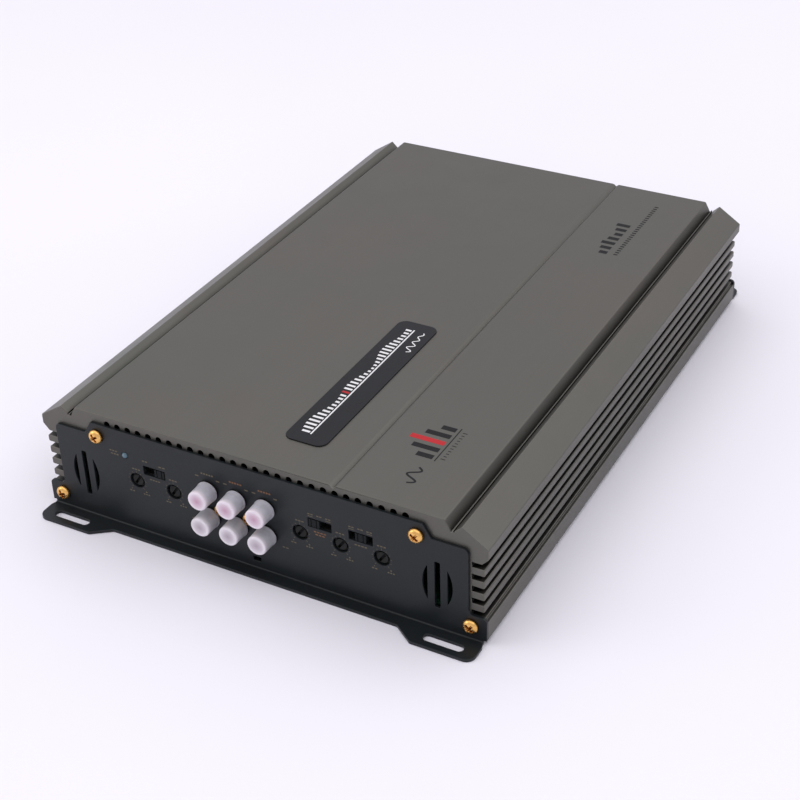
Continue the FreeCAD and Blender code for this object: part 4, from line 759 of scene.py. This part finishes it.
def deck_prints():
    """Generic marks on the deck and the name plate, in place of the printed names."""
    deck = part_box("heatsink")[1].z
    plate_low, plate_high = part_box("name_plate")

    def on_deck(u, v, lift):
        return Vector((u * MM, v * MM, deck + (lift + PRINT_GAP) * MM))

    def on_plate(u, v, lift):
        return Vector((u * MM, v * MM, plate_high.z - PRINT_ROOM + (lift + PRINT_GAP) * MM))

    inner = plate_low.x / MM
    start = plate_low.y / MM
    stop = plate_high.y / MM
    line = inner + 10.6
    margin = 8.0
    count, red_one = 34, 12
    white = [bar(line, (start + stop) / 2, 0.7, stop - start - 13.5)]
    red = []
    pitch = (stop - start - 2 * margin) / (count - 1)
    for index in range(count):
        tall = 3.4 + 1.5 * math.sin(index * 0.55) + 0.7 * math.sin(index * 0.21 + 1.0)
        target = red if index == red_one else white
        target.append(bar(line - 1.0 - tall / 2, start + margin + pitch * index, tall, 1.3))
    white.append(wave(line + 5.4, stop - 26.0, 18.5, 1.9, 0.55, 3.5, 0.35))
    print_marks("name_plate_print", white, on_plate, PLATE_FILM, INKS["white"])
    print_marks("name_plate_red_bar", red, on_plate, PLATE_FILM, INKS["red"])

    # Near the control end: level bars, with a red one in the middle of them, a scale and a wave.
    middle = -111.3
    dark = []
    for index, tall in enumerate((8.0, 13.0, 0.0, 12.0, 7.0)):
        if tall:
            dark.append(bar(70.0 - tall / 2, -122.5 + index * 5.6, tall, 3.1))
    dark.append(bar(71.6, middle, 0.55, 27.0))
    dark += [bar(74.4, -122.0 + index * 2.15, 1.5 if index % 5 else 2.3, 0.5) for index in range(11)]
    dark.append(wave(68.0, -143.5, 12.0, 3.4, 1.0, 1.5, 0.6))
    red = [bar(61.6, middle, 16.8, 3.1)]

    # Near the wiring end: a row of bars over a row of ticks.
    dark += [bar(67.4 - tall / 2, 81.0 + index * 5.4, tall, 3.0)
             for index, tall in enumerate((4.5, 6.0, 7.5, 6.0, 4.5, 6.0, 7.5))]
    dark += [bar(72.0, 81.0 + index * 2.4, 2.2, 1.1) for index in range(26)]
    print_marks("deck_print", dark, on_deck, INK_FILM, INKS["dark"])
    print_marks("deck_print_red", red, on_deck, INK_FILM, INKS["red"])


def dashes(x, z, width, parts, height=0.62):
    """A broken line of short bars, which stands where a small legend would be."""
    gap = 0.45
    piece = (width - gap * (parts - 1)) / parts
    first = x - width / 2 + piece / 2
    return [bar(first + index * (piece + gap), z, piece, height) for index in range(parts)]


def scale_ticks(x, z, radius):
    """Short radial ticks round a trimmer, from its low end to its high end."""
    count = 11
    ticks = []
    for index in range(count):
        angle = math.radians(230 - 280 * index / (count - 1))
        long = 1.0 if index in (0, count // 2, count - 1) else 0.6
        run = [(x + out * math.cos(angle), z + out * math.sin(angle)) for out in (radius, radius + long)]
        ticks.append(ribbon(run, 0.22))
    return ticks


def panel_legends():
    """Ticks round the trimmers, plain dashes by the other controls, and signs on the wiring end."""
    wall = solid_boxes("switch_slider_1")[0][0].y

    def on_panel(u, v, lift):
        return Vector((u * MM, wall - (lift + PRINT_GAP) * MM, v * MM))

    cream = []
    amber = []
    # Each trimmer: a scale, a legend over it, and a dot and a legend under each end of its turn.
    for index in range(1, 6):
        low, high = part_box(f"trimmer_rotor_{index}")
        x, z = (low.x + high.x) / 2 / MM, (low.z + high.z) / 2 / MM
        cream += scale_ticks(x, z, 4.35)
        cream += dashes(x, z + 6.3, 4.2, 3)
        cream += dashes(x - 3.7, z - 6.6, 2.6, 2)
        cream += dashes(x + 4.3, z - 6.6, 3.4, 3)
        cream += [disc(x - 3.7, z - 5.3, 0.3, 10), disc(x + 4.3, z - 5.3, 0.42, 12)]
    # Each switch: its settings over it and a legend under it.
    rooms = solid_boxes("switch_cases")
    for index, (low, high) in enumerate(sorted(rooms, key=lambda box: box[0].x)):
        x, z = (low.x + high.x) / 2 / MM, (low.z + high.z) / 2 / MM
        if index == 0:
            cream += dashes(x - 4.6, z + 5.0, 2.8, 2) + dashes(x + 4.6, z + 4.4, 3.4, 2)
            cream += dashes(x, z - 4.2, 5.4, 4)
        else:
            for across in (-4.4, 0.0, 4.4):
                cream += dashes(x + across, z + 4.6, 2.6, 2)
            for across in (-4.4, 4.4):
                cream += dashes(x + across, z + 3.5, 2.6, 1, 0.3)
            target = amber if index == 1 else cream
            target += dashes(x, z - 4.2, 6.0, 4)
            if index == 1:
                target += dashes(x, z - 5.6, 4.6, 3)
    # The lamp: two lines on its left.
    low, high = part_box("power_led")
    x, z = (low.x + high.x) / 2 / MM, (low.z + high.z) / 2 / MM
    cream += dashes(x - 6.2, z + 0.8, 4.2, 3) + dashes(x - 5.6, z - 0.8, 4.2, 3)
    # The sockets: a legend over each of the upper ones, and a short one at both ends of the lower row.
    for index in range(1, 4):
        low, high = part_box(f"dust_cap_{index}")
        x, z = (low.x + high.x) / 2 / MM, high.z / MM
        target = cream if index == 1 else amber
        target += dashes(x, z + 3.4, 6.4, 5, 0.8)
        cream += dashes(x - 5.5, z + 1.4, 1.8, 1) + dashes(x + 5.5, z + 1.4, 1.8, 1)
    for index in (4, 6):
        low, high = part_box(f"dust_cap_{index}")
        x = (low.x + high.x) / 2 / MM
        side = -1 if index == 4 else 1
        cream += dashes(x + side * 9.0, low.z / MM + 1.0, 3.0, 2)
    print_marks("panel_legend", cream, on_panel, INK_FILM, INKS["cream"])
    print_marks("panel_legend_amber", amber, on_panel, INK_FILM, INKS["amber"])

    back = -wall

    def on_back(u, v, lift):
        return Vector((-u * MM, back + (lift + PRINT_GAP) * MM, v * MM))

    # The wiring end: minus and plus signs over the wire entries, and the fuse sign.
    rear = []
    for name in ("power_terminal_barrels", "speaker_terminal_barrels"):
        for index, (low, high) in enumerate(sorted(solid_boxes(name), key=lambda box: box[0].x)):
            x, z = -(low.x + high.x) / 2 / MM, high.z / MM
            rear.append(bar(x, z + 5.6, 2.0, 0.45))
            if index % 2:
                rear.append(bar(x, z + 5.6, 0.45, 2.0))
    low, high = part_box("fuse_holder")
    x, z = -(low.x + high.x) / 2 / MM, high.z / MM + 2.6
    rear += [bar(x - 5.0, z, 4.0, 0.4), bar(x + 5.0, z, 4.0, 0.4)]
    curve = [(x - 3.0 + 0.5 * step, z + 1.0 * math.sin(math.pi * step / 6)) for step in range(13)]
    rear.append(ribbon(curve, 0.4))
    print_marks("rear_legend", rear, on_back, INK_FILM, INKS["cream"])


# ---------------------------------------------------------------- lamp

def lamp():
    """Domed lamp body with a flange behind the plate, and its two leads."""
    low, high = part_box("power_led")
    centre = (low + high) / 2
    toward = Vector((0, -1, 0))
    radius = 1.5 * MM
    flange = (high.x - low.x) / 2
    back = Vector((centre.x, high.y, centre.z))
    tip = high.y - low.y
    body_back = tip - 5.8 * MM
    flange_back = body_back + 2.2 * MM
    flange_front = body_back + 3.0 * MM
    profile = [(0.0, body_back), (radius, body_back), (radius, flange_back), (flange, flange_back),
               (flange, flange_front), (radius, flange_front), (radius, tip - radius)]
    profile += arc((0.0, tip - radius), radius, 8, 90, 9)
    profile[-1] = (0.0, tip)
    bm = bmesh.new()
    lathe(bm, profile, back, toward, 48)
    lead_apart = 0.635 * MM
    lead_radius = 0.25 * MM
    for side in (-1, 1):
        lead = back + Vector((side * lead_apart, 0, 0))
        rod = [(0.0, 0.0), (lead_radius, 0.0), (lead_radius, body_back), (0.0, body_back)]
        lathe(bm, rod, lead, toward, 12)
    bmesh.ops.recalc_face_normals(bm, faces=bm.faces)
    piece = to_object(bm, "power_led_finished", MATERIALS["led_lens"], 40.0)
    stand_for(piece, "power_led")


# ---------------------------------------------------------------- build the looks

# Widths of the rounded edges, in mm.
ROUNDED = {
    "heatsink": 0.22, "front_plate": 0.16, "rear_plate": 0.16, "bottom_cover": 0.15, "name_plate": 0.16,
    "trimmer_cases": 0.1, "switch_cases": 0.1, "power_terminal_block": 0.22, "speaker_terminal_block": 0.2,
    "power_terminal_barrels": 0.12, "speaker_terminal_barrels": 0.08, "power_terminal_screws": 0.1,
    "speaker_terminal_screws": 0.06, "fuse_holder": 0.2, "blade_fuse_1": 0.12, "blade_fuse_2": 0.12,
    "rca_shells": 0.05, "rca_inserts_red": 0.12, "rca_inserts_white": 0.12, "rca_housing": 0.15,
    "clamp_bars": 0.12, "board_standoffs": 0.08,
}
ROUNDED.update({f"trimmer_rotor_{index}": 0.1 for index in range(1, 6)})
ROUNDED.update({f"switch_slider_{index}": 0.12 for index in range(1, 4)})
for node_name, rounding_width in ROUNDED.items():
    finished(node_name, rounding_width, sunk=PRINT_ROOM if node_name == "name_plate" else 0.0)

cross_head_screws("front_plate_screws", Vector((0, -1, 0)), 3, PLATE_HEAD)
cross_head_screws("rear_plate_screws", Vector((0, 1, 0)), 5, PLATE_HEAD)
cross_head_screws("rca_screws", Vector((0, -1, 0)), 8, RCA_HEAD)
for cap_index in range(1, 7):
    dust_cap(f"dust_cap_{cap_index}", cap_index <= 3)
lamp()
deck_prints()
panel_legends()

replaced = set(ROUNDED) | {"front_plate_screws", "rear_plate_screws", "rca_screws", "power_led"}
replaced |= {f"dust_cap_{index}" for index in range(1, 7)}
for node_name in NODES:
    if node_name not in replaced:
        carry_over(node_name)


# ---------------------------------------------------------------- floor, light and camera

def make_floor():
    """Large pale floor just under the mounting plane."""
    half_width = 6.0
    drop = 0.05 * MM
    bm = bmesh.new()
    bmesh.ops.create_grid(bm, x_segments=2, y_segments=2, size=half_width)
    for vertex in bm.verts:
        vertex.co.z = -drop
    s = Surface("floor_white", (0.86, 0.845, 0.9), 0.6, 0.0)
    cloud = s.noise(3.0, 2.0)
    s.paint(s.mix(s.remap(cloud, 0.3, 0.7), (0.86, 0.845, 0.895), (0.88, 0.865, 0.92)))
    floor = to_object(bm, "floor", s.material)


def area_light(name, place, target, size, power, colour):
    """Rectangular soft light of the given width and height, aimed at the target."""
    light = bpy.data.lights.new(name, "AREA")
    light.shape = "RECTANGLE"
    light.size, light.size_y = size
    light.energy = power
    light.color = colour
    lamp_object = bpy.data.objects.new(name, light)
    lamp_object.location = place
    lamp_object.rotation_euler = (Vector(target) - Vector(place)).to_track_quat("-Z", "Y").to_euler()
    bpy.context.scene.collection.objects.link(lamp_object)


def make_light():
    """Even pale surroundings with one large and two small soft lights."""
    world = bpy.data.worlds.new("studio")
    world.use_nodes = True
    background = world.node_tree.nodes["Background"]
    background.inputs["Color"].default_value = (0.935, 0.92, 1.0, 1.0)
    background.inputs["Strength"].default_value = 0.79
    bpy.context.scene.world = world
    area_light("softbox_top", (0.1, 0.0, 1.7), (0.1, 0.0, 0.0), (3.0, 3.0), 17.5, (1.0, 0.985, 0.97))
    area_light("softbox_left", (-1.3, -0.9, 0.75), (0.0, 0.0, 0.03), (0.9, 0.9), 4.6, (1.0, 0.97, 0.94))
    area_light("softbox_back", (0.75, 1.0, 1.1), (0.1, 0.0, 0.03), (1.1, 0.7), 1.5, (1.0, 0.98, 0.95))


def make_camera():
    """Camera at the photograph's viewing angle."""
    data = bpy.data.cameras.new("camera")
    data.lens = 72.82
    data.sensor_width = 36.0
    data.clip_end = 20.0
    camera = bpy.data.objects.new("camera", data)
    right = Vector((0.88162, 0.47129, -0.02547))
    up = Vector((-0.23999, 0.49410, 0.83563))
    back = right.cross(up)
    axes = Matrix((right, up, back)).transposed().to_4x4()
    camera.matrix_world = Matrix.Translation((0.3330, -0.6230, 0.4599)) @ axes
    bpy.context.scene.collection.objects.link(camera)
    bpy.context.scene.camera = camera


make_floor()
make_light()
make_camera()
bpy.context.scene.view_settings.view_transform = "Standard"
